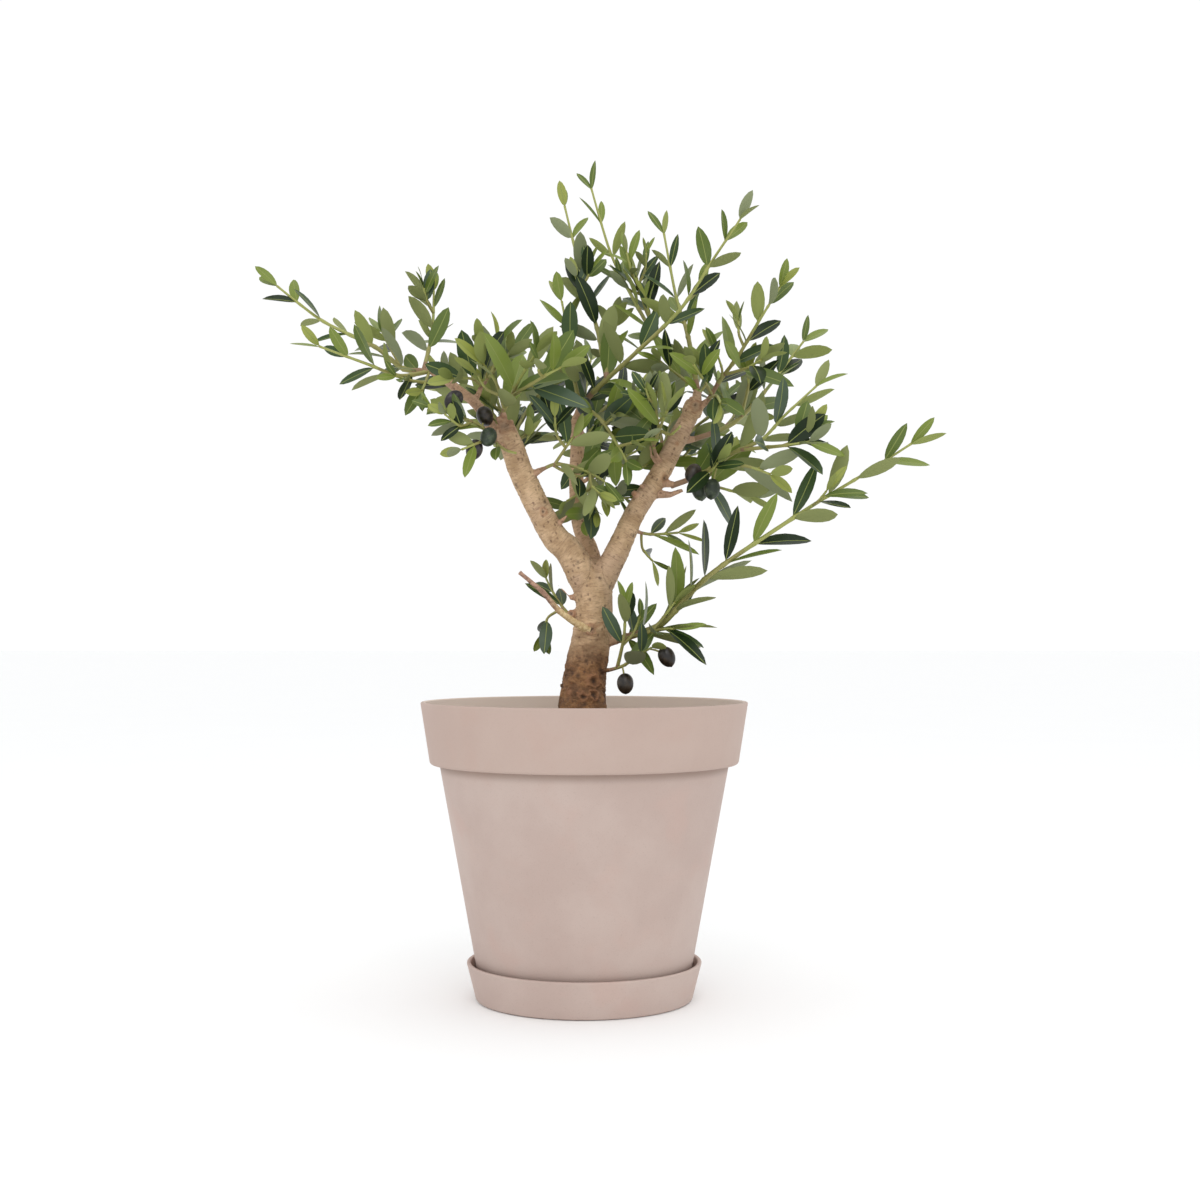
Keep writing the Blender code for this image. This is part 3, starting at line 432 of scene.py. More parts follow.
# %% Loose crumbs
CRUMBS = 1500
CRUMB_SIZE = (0.0008, 0.0030)
CRUMB_EDGE = 0.002         # kept between a crumb and the pot's wall
TRUNK_X, TRUNK_ROOM = -0.002, 0.027    # no crumb lies within this of the trunk's middle
PEAT, CHIP, GRAIN = range(3)
CRUMB_SHARES = (0.66, 0.29, 0.05)      # of peat, bark chips and pale grains
peat_crumb = Finish("peat_crumb", roughness=0.95, base_color=colour(52, 38, 28))
chip = Finish("bark_chip", roughness=0.85, base_color=colour(104, 74, 50))
grain = Finish("pale_grain", roughness=0.8, base_color=colour(176, 166, 150))
draw = random.Random(5)
crumbs = bmesh.new()
for _ in range(CRUMBS):
    size = draw.uniform(*CRUMB_SIZE)
    reach = inner_radius(edge_z) - size - CRUMB_EDGE
    away = reach * math.sqrt(draw.random())
    bearing = draw.uniform(0.0, math.tau)
    x, y = away * math.cos(bearing), away * math.sin(bearing)
    if math.hypot(x - TRUNK_X, y) < TRUNK_ROOM:
        continue
    kind = draw.choices((PEAT, CHIP, GRAIN), CRUMB_SHARES)[0]
    flat = draw.uniform(0.25, 0.5) if kind == CHIP else draw.uniform(0.45, 0.9)
    long = draw.uniform(1.3, 2.4) if kind == CHIP else draw.uniform(1.0, 1.4)
    turn = Matrix.Rotation(draw.uniform(0, math.tau), 4, "Z")
    turn = turn @ Matrix.Rotation(draw.uniform(-0.4, 0.4), 4, "X")
    place = Matrix.Translation((x, y, soil_height(x, y) + size * flat * 0.3))
    shape = Matrix.Diagonal((size * long / 1.4, size / 1.4, size * flat, 1.0))
    made = bmesh.ops.create_icosphere(crumbs, subdivisions=1, radius=1.0, matrix=place @ turn @ shape)
    for face in {face for vert in made["verts"] for face in vert.link_faces}:
        face.material_index = kind
soil_crumbs = piece_from("soil_crumbs", mesh_from("soil_crumbs", crumbs), peat_crumb, chip, grain)

# %% [markdown]
# ## The limbs
# Each limb is a path of points with a radius at each. A bough starts at a foot inside
# the limb that carries it, so the two flow into each other when they are joined. These
# are the CAD's own numbers, so the bark lies where the solids are.

# %% Limb data
Limb = namedtuple("Limb", "name carrier foot foot_radius points")

LIMBS = (
    Limb("trunk", None, None, None, (
        ((-0.002, 0.000, SOIL_TOP_Z + GAP), 0.0265),
        ((-0.002, 0.000, 0.268), 0.0222),
        ((0.000, 0.001, 0.290), 0.0200),
        ((0.005, 0.001, 0.319), 0.0186),
        ((0.009, 0.000, 0.354), 0.0168),
        ((0.008, 0.000, 0.374), 0.0178),
        ((0.009, 0.001, 0.389), 0.0150),
    )),
    Limb("left_bough", "trunk", (0.004, -0.001, 0.376), 0.0145, (
        ((-0.0125, -0.0045, 0.4065), 0.0134),
        ((-0.026, -0.008, 0.420), 0.0124),
        ((-0.039, -0.012, 0.442), 0.0114),
        ((-0.056, -0.018, 0.476), 0.0112),
        ((-0.065, -0.022, 0.502), 0.0108),
        ((-0.072, -0.024, 0.521), 0.0088),
    )),
    Limb("right_bough", "trunk", (0.014, 0.000, 0.378), 0.0135, (
        ((0.0300, 0.0010, 0.4080), 0.0111),
        ((0.046, 0.005, 0.443), 0.0098),
        ((0.069, 0.010, 0.479), 0.0094),
        ((0.087, 0.015, 0.515), 0.0088),
        ((0.106, 0.020, 0.549), 0.0074),
    )),
    Limb("middle_bough", "trunk", (0.009, 0.005, 0.380), 0.0105, (
        ((0.0065, 0.0170, 0.4060), 0.0080),
        ((-0.004, 0.030, 0.434), 0.0074),
        ((-0.008, 0.037, 0.470), 0.0070),
        ((-0.007, 0.045, 0.513), 0.0066),
        ((-0.009, 0.048, 0.535), 0.0060),
    )),
    Limb("left_limb", "left_bough", (-0.0665, -0.0220, 0.5050), 0.0064, (
        ((-0.0835, -0.0215, 0.5200), 0.0053),
        ((-0.098, -0.020, 0.541), 0.0048),
        ((-0.117, -0.015, 0.557), 0.0044),
        ((-0.131, -0.012, 0.568), 0.0042),
    )),
    Limb("dead_twig", "trunk", (0.0060, -0.0080, 0.3340), 0.0050, (
        ((-0.0030, -0.0215, 0.3395), 0.0034),
        ((-0.022, -0.034, 0.353), 0.0027),
        ((-0.037, -0.045, 0.370), 0.0022),
        ((-0.057, -0.055, 0.387), 0.0017),
    )),
)

# %% [markdown]
# A smooth curve through a limb's points gives its middle line, and a frame carried
# along the line with as little turning as possible keeps its tube from twisting. The
# tube is a disc pushed out ring by ring.


# %% Paths and tubes
def smooth_path(points, pieces):
    """Points along a Catmull-Rom curve, with this many pieces in each span."""
    points = [Vector(point) for point in points]
    before = 2 * points[0] - points[1]
    after = 2 * points[-1] - points[-2]
    ends = [before, *points, after]
    path = []
    for a, b, c, d in zip(ends, ends[1:], ends[2:], ends[3:]):
        for step in range(pieces):
            t = step / pieces
            path.append(0.5 * (2 * b + (c - a) * t + (2 * a - 5 * b + 4 * c - d) * t * t
                               + (3 * b - a - 3 * c + d) * t * t * t))
    path.append(points[-1])
    return path


def along(values, share):
    """The value at a share of the way along a list of evenly counted values."""
    place = share * (len(values) - 1)
    index = min(int(place), len(values) - 2)
    return values[index] + (values[index + 1] - values[index]) * (place - index)


def direction(path, share):
    """The unit direction of a path at a share of the way along it."""
    index = min(int(share * (len(path) - 1)), len(path) - 2)
    return (path[index + 1] - path[index]).normalized()


def frames(path):
    """A matrix at each point, Z along the path, turned as little as possible."""
    found = []
    axis = (path[1] - path[0]).normalized()
    turn = axis.to_track_quat("Z", "Y")
    for index, point in enumerate(path):
        ahead = path[min(index + 1, len(path) - 1)]
        behind = path[max(index - 1, 0)]
        heading = (ahead - behind).normalized()
        turn = axis.rotation_difference(heading) @ turn
        axis = heading
        found.append(Matrix.Translation(point) @ turn.to_matrix().to_4x4())
    return found


def add_tube(bm, path, radii, sides):
    """A closed tube along a path: a disc, pushed out ring by ring."""
    places = [frame @ Matrix.Scale(radius, 4) for frame, radius in zip(frames(path), radii)]
    made = bmesh.ops.create_circle(bm, cap_ends=True, segments=sides, radius=1.0, matrix=places[0])
    foot = made["verts"][0].link_faces[0]
    face = foot
    for here, there in zip(places, places[1:]):
        pushed = bmesh.ops.extrude_face_region(bm, geom=[face])["geom"]
        corners = [item for item in pushed if isinstance(item, bmesh.types.BMVert)]
        if face is not foot:
            bmesh.ops.delete(bm, geom=[face], context="FACES_ONLY")
        face = next(item for item in pushed if isinstance(item, bmesh.types.BMFace))
        bmesh.ops.transform(bm, verts=corners, matrix=there @ here.inverted())


def tube(path, radii, sides):
    bm = bmesh.new()
    add_tube(bm, path, radii, sides)
    bmesh.ops.recalc_face_normals(bm, faces=bm.faces)
    return bm


def even_radii(count, first, last):
    return [first + (last - first) * index / (count - 1) for index in range(count)]


def limb_line(points, pieces):
    """A limb's middle line, and the radius at each place on it."""
    path = smooth_path([point for point, _ in points], pieces)
    radii = smooth_path([(radius, 0, 0) for _, radius in points], pieces)
    return path, [value.x for value in radii]


def straight_line(start, end, pieces, first, last):
    """A straight line of points, and an even change of radius along it."""
    path = [start.lerp(end, share / pieces) for share in range(pieces + 1)]
    return path, even_radii(pieces + 1, first, last)


def flat_ends(bm):
    """Shade the sides of tubes smooth and leave their ends flat."""
    for face in bm.faces:
        face.smooth = len(face.verts) == 4


# %% [markdown]
# ## The rule of growth
# An olive shoot carries its leaves in opposite pairs, each pair turned a quarter from
# the last, and ends in a pair of small upright leaves. Each mass of foliage has a stem,
# shoots that branch from it, and a few side twigs from a seeded draw. This is the rule
# that made the solids, so every leaf of theirs is found here again, and finer twigs
# are added to it afterwards.

# %% Growth data
# A shoot leaves its parent at a share of the parent's length and runs through its
# points to its tip.
Shoot = namedtuple("Shoot", "parent at way")

# A fruit hangs by a stalk from a shoot, at a share of its length.
Fruit = namedtuple("Fruit", "shoot at centre")

# A mass has the limb that carries it, the foot of its spur inside that limb, the point
# where its stem starts, 0.3 mm past the spur's end, the length of its leaves and their
# width over their length, its number of seeded side twigs, its shoots (the first is its
# stem) and its fruit. Its name is its seed.
Mass = namedtuple("Mass", "name limb foot start leaf wide twigs shoots fruit")

OLIVE_R = 0.0075
STALK_R = 0.0012
OLIVE_LONG = 1.28          # an olive's length over its width
OVAL = 0.42
BROAD = 0.34
LANCE = 0.25
SLIM = 0.20

MASSES = (
    Mass("left_outer_foliage", "left_limb", (-0.1280, -0.0125, 0.5655), (-0.1370, -0.0105, 0.5735),
         0.038, BROAD, 1, (
        Shoot(0, 0.00, ((-0.166, -0.005, 0.576), (-0.193, 0.000, 0.597),
                        (-0.242, 0.008, 0.622), (-0.287, 0.018, 0.657))),
        Shoot(0, 0.03, ((-0.166, -0.030, 0.566), (-0.192, -0.040, 0.574),
                        (-0.236, -0.052, 0.589))),
        Shoot(0, 0.09, ((-0.142, 0.018, 0.615), (-0.142, 0.032, 0.655))),
        Shoot(0, 0.28, ((-0.188, 0.014, 0.612),)),
        Shoot(0, 0.04, ((-0.146, -0.034, 0.552),)),
    ), ()),
    Mass("left_upper_foliage", "left_limb", (-0.100, -0.019, 0.543), (-0.096, -0.016, 0.555),
         0.038, OVAL, 1, (
        Shoot(0, 0.00, ((-0.085, -0.008, 0.572), (-0.083, 0.000, 0.592),
                        (-0.081, 0.002, 0.605))),
        Shoot(0, 0.20, ((-0.091, -0.025, 0.579), (-0.093, -0.040, 0.592))),
        Shoot(0, 0.30, ((-0.074, 0.020, 0.590), (-0.062, 0.036, 0.600))),
        Shoot(0, 0.08, ((-0.102, -0.040, 0.562), (-0.116, -0.052, 0.560))),
    ), ()),
    Mass("left_low_foliage", "left_bough", (-0.063, -0.021, 0.496), (-0.076, -0.036, 0.502),
         0.030, OVAL, 1, (
        Shoot(0, 0.00, ((-0.093, -0.045, 0.519), (-0.112, -0.052, 0.526),
                        (-0.135, -0.056, 0.534))),
        Shoot(0, 0.12, ((-0.095, -0.055, 0.502), (-0.108, -0.060, 0.496))),
        Shoot(0, 0.05, ((-0.078, -0.047, 0.500),)),
    ), (
        Fruit(0, 0.15, (-0.098, -0.048, 0.497)),
        Fruit(0, 0.55, (-0.116, -0.054, 0.541)),
        Fruit(0, 0.08, (-0.085, -0.052, 0.508)),
        Fruit(0, 0.30, (-0.089, -0.040, 0.528)),
    )),
    Mass("left_front_foliage", "left_bough", (-0.0700, -0.0235, 0.5160), (-0.0745, -0.0265, 0.5310),
         0.052, BROAD, 1, (
        Shoot(0, 0.00, ((-0.070, -0.034, 0.538), (-0.056, -0.060, 0.560),
                        (-0.042, -0.080, 0.578))),
        Shoot(0, 0.20, ((-0.078, -0.050, 0.556), (-0.088, -0.064, 0.570))),
        Shoot(0, 0.45, ((-0.036, -0.088, 0.556), (-0.020, -0.104, 0.562))),
    ), ()),
    Mass("left_back_foliage", "left_bough", (-0.058, -0.0185, 0.480), (-0.063, 0.000, 0.486),
         0.044, BROAD, 1, (
        Shoot(0, 0.00, ((-0.072, 0.030, 0.520), (-0.084, 0.060, 0.556),
                        (-0.096, 0.098, 0.590))),
        Shoot(0, 0.25, ((-0.056, 0.076, 0.548), (-0.040, 0.108, 0.576))),
        Shoot(0, 0.35, ((-0.100, 0.060, 0.556), (-0.124, 0.082, 0.578))),
        Shoot(0, 0.15, ((-0.072, 0.066, 0.520), (-0.076, 0.096, 0.530))),
    ), ()),
    Mass("leader_foliage", "middle_bough", (-0.0090, 0.0480, 0.5300), (-0.0060, 0.0475, 0.5450),
         0.043, BROAD, 2, (
        Shoot(0, 0.00, ((0.006, 0.037, 0.558), (0.024, 0.020, 0.573), (0.050, 0.000, 0.594),
                        (0.088, -0.025, 0.628), (0.115, -0.045, 0.667),
                        (0.139, -0.060, 0.701))),
        Shoot(0, 0.31, ((0.016, 0.032, 0.599), (0.0115, 0.050, 0.623), (-0.003, 0.068, 0.676),
                        (-0.020, 0.083, 0.748))),
        Shoot(0, 0.04, ((0.014, 0.006, 0.532), (0.028, -0.020, 0.508),
                        (0.038, -0.038, 0.488))),
        Shoot(0, 0.03, ((-0.011, 0.030, 0.578), (-0.014, 0.042, 0.605),
                        (-0.022, 0.052, 0.649))),
    ), (
        Fruit(0, 0.05, (0.000, 0.024, 0.545)),
    )),
    Mass("top_foliage", "right_bough", (0.1040, 0.0195, 0.5450), (0.1075, 0.0210, 0.5580),
         0.040, LANCE, 1, (
        Shoot(0, 0.00, ((0.100, 0.028, 0.568), (0.075, 0.040, 0.602), (0.063, 0.050, 0.621),
                        (0.043, 0.060, 0.659), (0.024, 0.066, 0.700), (0.006, 0.071, 0.762))),
        Shoot(0, 0.06, ((0.098, 0.024, 0.605), (0.093, 0.030, 0.627), (0.086, 0.036, 0.651),
                        (0.075, 0.043, 0.712))),
        Shoot(0, 0.42, ((0.054, 0.062, 0.656), (0.050, 0.064, 0.674))),
        Shoot(0, 0.08, ((0.086, 0.004, 0.572), (0.070, -0.010, 0.582))),
    ), ()),
    Mass("right_upper_foliage", "right_bough", (0.1005, 0.0185, 0.5390), (0.1130, 0.0110, 0.5460),
         0.040, BROAD, 1, (
        Shoot(0, 0.00, ((0.125, 0.000, 0.566), (0.140, -0.020, 0.585), (0.152, -0.035, 0.605),
                        (0.162, -0.050, 0.621), (0.174, -0.060, 0.640))),
        Shoot(0, 0.22, ((0.126, -0.012, 0.575), (0.121, -0.016, 0.589))),
        Shoot(0, 0.25, ((0.146, -0.034, 0.572), (0.158, -0.050, 0.577))),
        Shoot(0, 0.08, ((0.110, -0.026, 0.560), (0.098, -0.050, 0.573))),
        Shoot(0, 0.05, ((0.120, -0.028, 0.548), (0.122, -0.052, 0.538))),
    ), ()),
    Mass("right_outer_foliage", "right_bough", (0.0850, 0.0145, 0.5110), (0.0990, 0.0200, 0.5130),
         0.044, BROAD, 2, (
        Shoot(0, 0.00, ((0.136, 0.032, 0.528), (0.163, 0.045, 0.553), (0.186, 0.055, 0.582),
                        (0.209, 0.062, 0.612))),
        Shoot(0, 0.35, ((0.152, 0.010, 0.562), (0.150, 0.000, 0.574))),
        Shoot(0, 0.22, ((0.146, 0.064, 0.545), (0.152, 0.084, 0.560))),
    ), ()),
    Mass("right_low_foliage", "right_bough", (0.0650, 0.0090, 0.4730), (0.0800, 0.0040, 0.4690),
         0.047, BROAD, 1, (
        Shoot(0, 0.00, ((0.108, -0.010, 0.479), (0.135, -0.030, 0.496), (0.159, -0.050, 0.506),
                        (0.177, -0.060, 0.525), (0.206, -0.062, 0.552))),
        Shoot(0, 0.45, ((0.176, -0.074, 0.498), (0.196, -0.084, 0.500))),
        Shoot(0, 0.30, ((0.146, -0.050, 0.482), (0.164, -0.064, 0.474))),
        Shoot(0, 0.10, ((0.122, 0.002, 0.468), (0.152, 0.008, 0.460))),
    ), (
        Fruit(0, 0.14, (0.106, -0.006, 0.464)),
        Fruit(0, 0.22, (0.099, -0.024, 0.478)),
        Fruit(0, 0.30, (0.116, -0.022, 0.464)),
    )),
    Mass("right_back_foliage", "right_bough", (0.0560, 0.0070, 0.4580), (0.0600, 0.0235, 0.4630),
         0.044, OVAL, 1, (
        Shoot(0, 0.00, ((0.072, 0.050, 0.500), (0.086, 0.086, 0.545), (0.098, 0.120, 0.588))),
        Shoot(0, 0.30, ((0.110, 0.080, 0.535), (0.145, 0.108, 0.560))),
        Shoot(0, 0.40, ((0.068, 0.100, 0.545), (0.052, 0.124, 0.562))),
        Shoot(0, 0.20, ((0.086, 0.076, 0.500), (0.108, 0.100, 0.508))),
    ), ()),
    Mass("inner_right_foliage", "right_bough", (0.0730, 0.0110, 0.4870), (0.0660, -0.0020, 0.4950),
         0.041, BROAD, 1, (
        Shoot(0, 0.00, ((0.060, -0.014, 0.515), (0.048, -0.022, 0.540))),
        Shoot(0, 0.25, ((0.070, -0.034, 0.522), (0.074, -0.044, 0.532))),
    ), ()),
    Mass("inner_foliage", "middle_bough", (-0.0080, 0.0370, 0.4720), (0.0020, 0.0300, 0.4780),
         0.044, BROAD, 2, (
        Shoot(0, 0.00, ((0.010, 0.014, 0.474), (0.018, -0.004, 0.458))),
        Shoot(0, 0.20, ((0.028, 0.018, 0.492), (0.048, 0.012, 0.502))),
        Shoot(0, 0.30, ((0.004, 0.016, 0.452), (0.000, 0.008, 0.438))),
    ), ()),
    Mass("inner_left_foliage", "left_bough", (-0.0540, -0.0170, 0.4720), (-0.0420, -0.0230, 0.4790),
         0.044, BROAD, 1, (
        Shoot(0, 0.00, ((-0.025, -0.030, 0.486), (0.000, -0.035, 0.480), (0.018, -0.038, 0.470))),
        Shoot(0, 0.30, ((-0.016, -0.042, 0.500), (-0.010, -0.046, 0.508))),
    ), ()),
    Mass("back_foliage", "middle_bough", (-0.0080, 0.0400, 0.4880), (-0.0080, 0.0530, 0.4960),
         0.044, BROAD, 1, (
        Shoot(0, 0.00, ((-0.004, 0.085, 0.534), (0.000, 0.120, 0.572), (0.005, 0.150, 0.608))),
        Shoot(0, 0.30, ((0.025, 0.118, 0.560), (0.055, 0.150, 0.580))),
        Shoot(0, 0.35, ((-0.034, 0.124, 0.562), (-0.060, 0.150, 0.590))),
        Shoot(0, 0.20, ((0.000, 0.112, 0.526), (0.006, 0.140, 0.520))),
    ), ()),
    Mass("right_under_foliage", "right_bough", (0.0400, 0.0035, 0.4300), (0.0490, 0.0110, 0.4270),
         0.040, SLIM, 0, (
        Shoot(0, 0.00, ((0.063, 0.018, 0.425), (0.087, 0.026, 0.427))),
        Shoot(0, 0.15, ((0.054, 0.020, 0.412), (0.063, 0.024, 0.401))),
    ), ()),
    Mass("low_right_shoot_foliage", "trunk", (0.0050, 0.0000, 0.3220), (0.0270, -0.0020, 0.3260),
         0.054, LANCE, 1, (
        Shoot(0, 0.00, ((0.047, -0.010, 0.332), (0.071, -0.020, 0.342), (0.094, -0.030, 0.367),
                        (0.115, -0.045, 0.387), (0.152, -0.055, 0.413), (0.207, -0.070, 0.449),
                        (0.245, -0.075, 0.472), (0.287, -0.080, 0.499))),
        Shoot(0, 0.05, ((0.068, -0.034, 0.336), (0.080, -0.044, 0.337))),
    ), ()),
    Mass("low_right_tuft_foliage", "trunk", (0.0010, -0.0010, 0.2950), (0.0210, -0.0110, 0.2990),
         0.040, BROAD, 0, (
        Shoot(0, 0.00, ((0.036, -0.026, 0.304), (0.050, -0.038, 0.314), (0.060, -0.046, 0.320))),
        Shoot(0, 0.20, ((0.036, -0.034, 0.330), (0.037, -0.036, 0.356))),
    ), (
        Fruit(0, 0.30, (0.037, -0.044, 0.288)),
        Fruit(0, 0.95, (0.074, -0.048, 0.312)),
    )),
    Mass("low_left_tuft_foliage", "trunk", (0.0070, 0.0010, 0.3380), (-0.0080, 0.0120, 0.3440),
         0.034, BROAD, 0, (
        Shoot(0, 0.00, ((-0.024, 0.024, 0.362), (-0.036, 0.030, 0.384))),
        Shoot(0, 0.35, ((-0.034, 0.028, 0.348), (-0.038, 0.030, 0.334))),
    ), ()),
)

# %% [markdown]
# A twig runs along a smooth curve and is as thick as its length asks. A side twig
# leaves its parent at a slant, bends along it and lifts a little to the light. The
# longer a shoot is, the more pairs of leaves it carries, and each shoot of a mass
# starts its pairs a golden angle further round than the one before, as buds do.

# %% Twigs
TWIG_R = 0.0013            # at the foot of a twig of no length
TWIG_R_BY_LENGTH = 0.0085  # and this much more for each metre of it
TWIG_R_MOST = 0.0036
TWIG_TIP_R = 0.0010
TWIG_STEP = 0.026          # between the rings of a twig
SIDE_TWIG = (0.022, 0.040)
SIDE_TWIG_AT = (0.25, 0.70)
SIDE_TWIG_LEAN = (0.7, 0.4, 0.4)  # outward, outward at the tip, and upward at the tip
SIDE_TWIG_AHEAD = (0.5, 0.7)      # along its parent, at first and at the tip
SIDE_TWIG_PAIRS = 2
SIDE_TWIG_LEAF = 0.8       # its leaves over its parent's
PAIR_STEP = 0.027          # from one pair of leaves to the next along a shoot
PAIR_TURN = 90             # degrees from each pair to the next
FIRST_TURN = 137.5         # and from a shoot's first pair to that of the mass's next shoot

Twig = namedtuple("Twig", "path radii pairs leaf wide turn")


def length_of(points):
    return sum((Vector(b) - Vector(a)).length for a, b in zip(points, points[1:]))


def twig_along(points, pairs, leaf, wide, turn):
    """A twig through these points, as thick as its length asks."""
    length = length_of(points)
    pieces = max(2, round(length / (len(points) - 1) / TWIG_STEP))
    path = smooth_path(points, pieces)
    foot = min(TWIG_R + TWIG_R_BY_LENGTH * length, TWIG_R_MOST)
    return Twig(path, even_radii(len(path), foot, TWIG_TIP_R), pairs, leaf, wide, turn)


def side_points(parent, share, length, lean, rng):
    """Where a side twig starts, bends and ends."""
    heading = direction(parent.path, share)
    side = heading.orthogonal().normalized()
    side.rotate(Matrix.Rotation(rng.uniform(0, math.tau), 3, heading))
    first, last = SIDE_TWIG_AHEAD
    out, drift, lift = lean
    start = along(parent.path, share)
    middle = start + (heading * first + side * out).normalized() * length * 0.5
    tip = middle + (heading * last + side * drift + Vector((0, 0, lift))).normalized() * length * 0.5
    return start, middle, tip


def twigs_of(mass, rng):
    """The mass's stem and shoots, then its seeded side twigs."""
    twigs = []
    for number, shoot in enumerate(mass.shoots):
        start = along(twigs[shoot.parent].path, shoot.at) if twigs else Vector(mass.start)
        points = (start, *shoot.way)
        pairs = max(1, round(length_of(points) / PAIR_STEP))
        twigs.append(twig_along(points, pairs, mass.leaf, mass.wide, FIRST_TURN * number))
    for _ in range(mass.twigs):
        parent = twigs[rng.randrange(len(mass.shoots))]
        share = rng.uniform(*SIDE_TWIG_AT)
        points = side_points(parent, share, rng.uniform(*SIDE_TWIG), SIDE_TWIG_LEAN, rng)
        twigs.append(twig_along(points, SIDE_TWIG_PAIRS, parent.leaf * SIDE_TWIG_LEAF,
                                parent.wide, rng.uniform(0, PAIR_TURN)))
    return twigs


# %% [markdown]
# The leaves of a pair stand opposite each other. Near the shoot's foot they spread
# wide, and towards its tip they close up and grow smaller. Olive leaves turn their
# blades to the light, some with the pale underside to it, so they aren't seen edge on.

# %% Leaves on a twig
BARE_FOOT = 0.012          # a twig carries no leaf nearer to its foot than this
MOST_BARE = 0.35           # of its length
PAIR_VARIES = 28
TIP_LEAF = 0.66            # the last pair's size, over the twig's own
LEAST_LEAF = 0.80          # the size of a pair near the tip
LEAF_SWELL = 0.30          # and what is added to it midway
TIP_SPREAD = 20            # degrees between the last pair and its twig
FOOT_SPREAD = 52           # and at the twig's foot
SPREAD_CLOSES = 16         # degrees less towards the tip
SPREAD_VARIES = 9
LEAF_LIFT = (0.02, 0.22)   # how far a leaf lifts towards the light
LIGHT_TURN = 0.85          # how far a leaf turns one side to the light, which came from the front
LIGHT_VARIES = 0.35
UNDERSIDES = 0.30          # share of the leaves that turn their underside to it
FACE_UP = 0.40             # how far the upper sides turn up
LENGTH_VARIES = (0.86, 1.14)
WIDTH_VARIES = (0.85, 1.12)
LEAF_ARCH = (-0.02, 0.20)  # how far a leaf's tip drops, over its length

Leaf = namedtuple("Leaf", "root heading up length width arch")


def leaf_places(twig):
    """Where each of a twig's leaves sits: its pair, the side it is on, the place."""
    bare = min(BARE_FOOT / (twig.path[-1] - twig.path[0]).length, MOST_BARE)
    places = []
    for pair in range(twig.pairs + 1):
        last = pair == twig.pairs
        share = 1.0 if last else bare + (1.0 - bare) * (pair + 0.5) / (twig.pairs + 0.4)
        places += [(pair, 1, share, last), (pair, -1, share, last)]
    return places


def leaf_at(twig, place, rng):
    """One leaf of an opposite pair; each pair is turned a quarter from the last."""
    pair, way, share, last = place
    heading = direction(twig.path, share)
    side = heading.orthogonal().normalized()
    turn = twig.turn + PAIR_TURN * pair + rng.uniform(-PAIR_VARIES, PAIR_VARIES)
    side.rotate(Matrix.Rotation(math.radians(turn), 3, heading))
    size = TIP_LEAF if last else LEAST_LEAF + LEAF_SWELL * math.sin(math.pi * min(share + 0.12, 1.0))
    spread = TIP_SPREAD if last else FOOT_SPREAD - SPREAD_CLOSES * share
    spread = math.radians(spread + rng.uniform(-SPREAD_VARIES, SPREAD_VARIES))
    lean = heading * math.cos(spread) + side * way * math.sin(spread)
    lean = (lean + Vector((0, 0, rng.uniform(*LEAF_LIFT)))).normalized()
    face = heading * math.sin(spread) - side * way * math.cos(spread)
    light = LIGHT_TURN if rng.random() < UNDERSIDES else -LIGHT_TURN
    light += rng.uniform(-LIGHT_VARIES, LIGHT_VARIES)
    face = face * 0.5 + Vector((rng.uniform(-LIGHT_VARIES, LIGHT_VARIES), light, FACE_UP))
    face = (face - lean * face.dot(lean)).normalized()
    length = twig.leaf * size * rng.uniform(*LENGTH_VARIES)
    width = length * twig.wide * rng.uniform(*WIDTH_VARIES)
    return Leaf(along(twig.path, min(share, 0.995)), lean, face, length, width, rng.uniform(*LEAF_ARCH))


def blade_point(leaf, share, across=0.0, above=0.0):
    """A point of a leaf: a share of its length out, and metres across and above."""
    side = leaf.heading.cross(leaf.up)
    sag = leaf.arch * leaf.length * share * share
    return leaf.root + leaf.heading * leaf.length * share + side * across + leaf.up * (above - sag)


# %% [markdown]
# Two things can't be in one place, so every limb, twig, leaf and olive is also made as
# a small plain solid. A new solid is held against those that are already there: boxes
# first, which is quick, and then the faces themselves.

# %% Room that is taken
TWIG_SIDES = 3
TWIG_SPARE = 1.25          # a twig's solid is this much thicker, to cover a round one
LEAF_THICK = 0.0010        # of a leaf at its middle
LEAF_WIDEST = 0.45         # where a leaf is widest, from its root
SPINDLE_FULL = 1.2         # a leaf's spindle is this much wider, to cover a full blade
SPINDLE_SIDE = math.sin(math.tau / 3)
TRUNK_SIDES, LIMB_SIDES, THIN_LIMB_SIDES, SPUR_SIDES = 12, 8, 6, 5
TRUNK_FROM, LIMB_FROM = 0.014, 0.006    # the least radii of a trunk and of a limb
LIMB_PIECES = 2
ARM_END = 0.003            # the straight end of an arm


def leaf_solid(leaf, start=0.0, spare=0.0):
    """A spindle of six faces, flat above with a low keel under it, rooted on the twig's axis."""
    bm = bmesh.new()
    bmesh.ops.create_uvsphere(bm, u_segments=3, v_segments=2, radius=1.0)
    for vert in bm.verts:
        keel, across, end = vert.co
        share = max(start, LEAF_WIDEST if abs(end) < 0.5 else (end + 1.0) / 2.0)
        half_width = across / SPINDLE_SIDE * (leaf.width / 2 * SPINDLE_FULL + spare)
        vert.co = blade_point(leaf, share, half_width, -keel * (LEAF_THICK / 1.5 + spare))
    bmesh.ops.recalc_face_normals(bm, faces=bm.faces)
    return bm


def olive_solid(centre):
    bm = bmesh.new()
    bmesh.ops.create_uvsphere(bm, u_segments=7, v_segments=5, radius=OLIVE_R,
                              matrix=Matrix.Translation(centre) @ Matrix.Diagonal((1, 1, OLIVE_LONG, 1)))
    return bm


def twig_tube(twig):
    return tube(twig.path, [radius * TWIG_SPARE for radius in twig.radii], TWIG_SIDES)


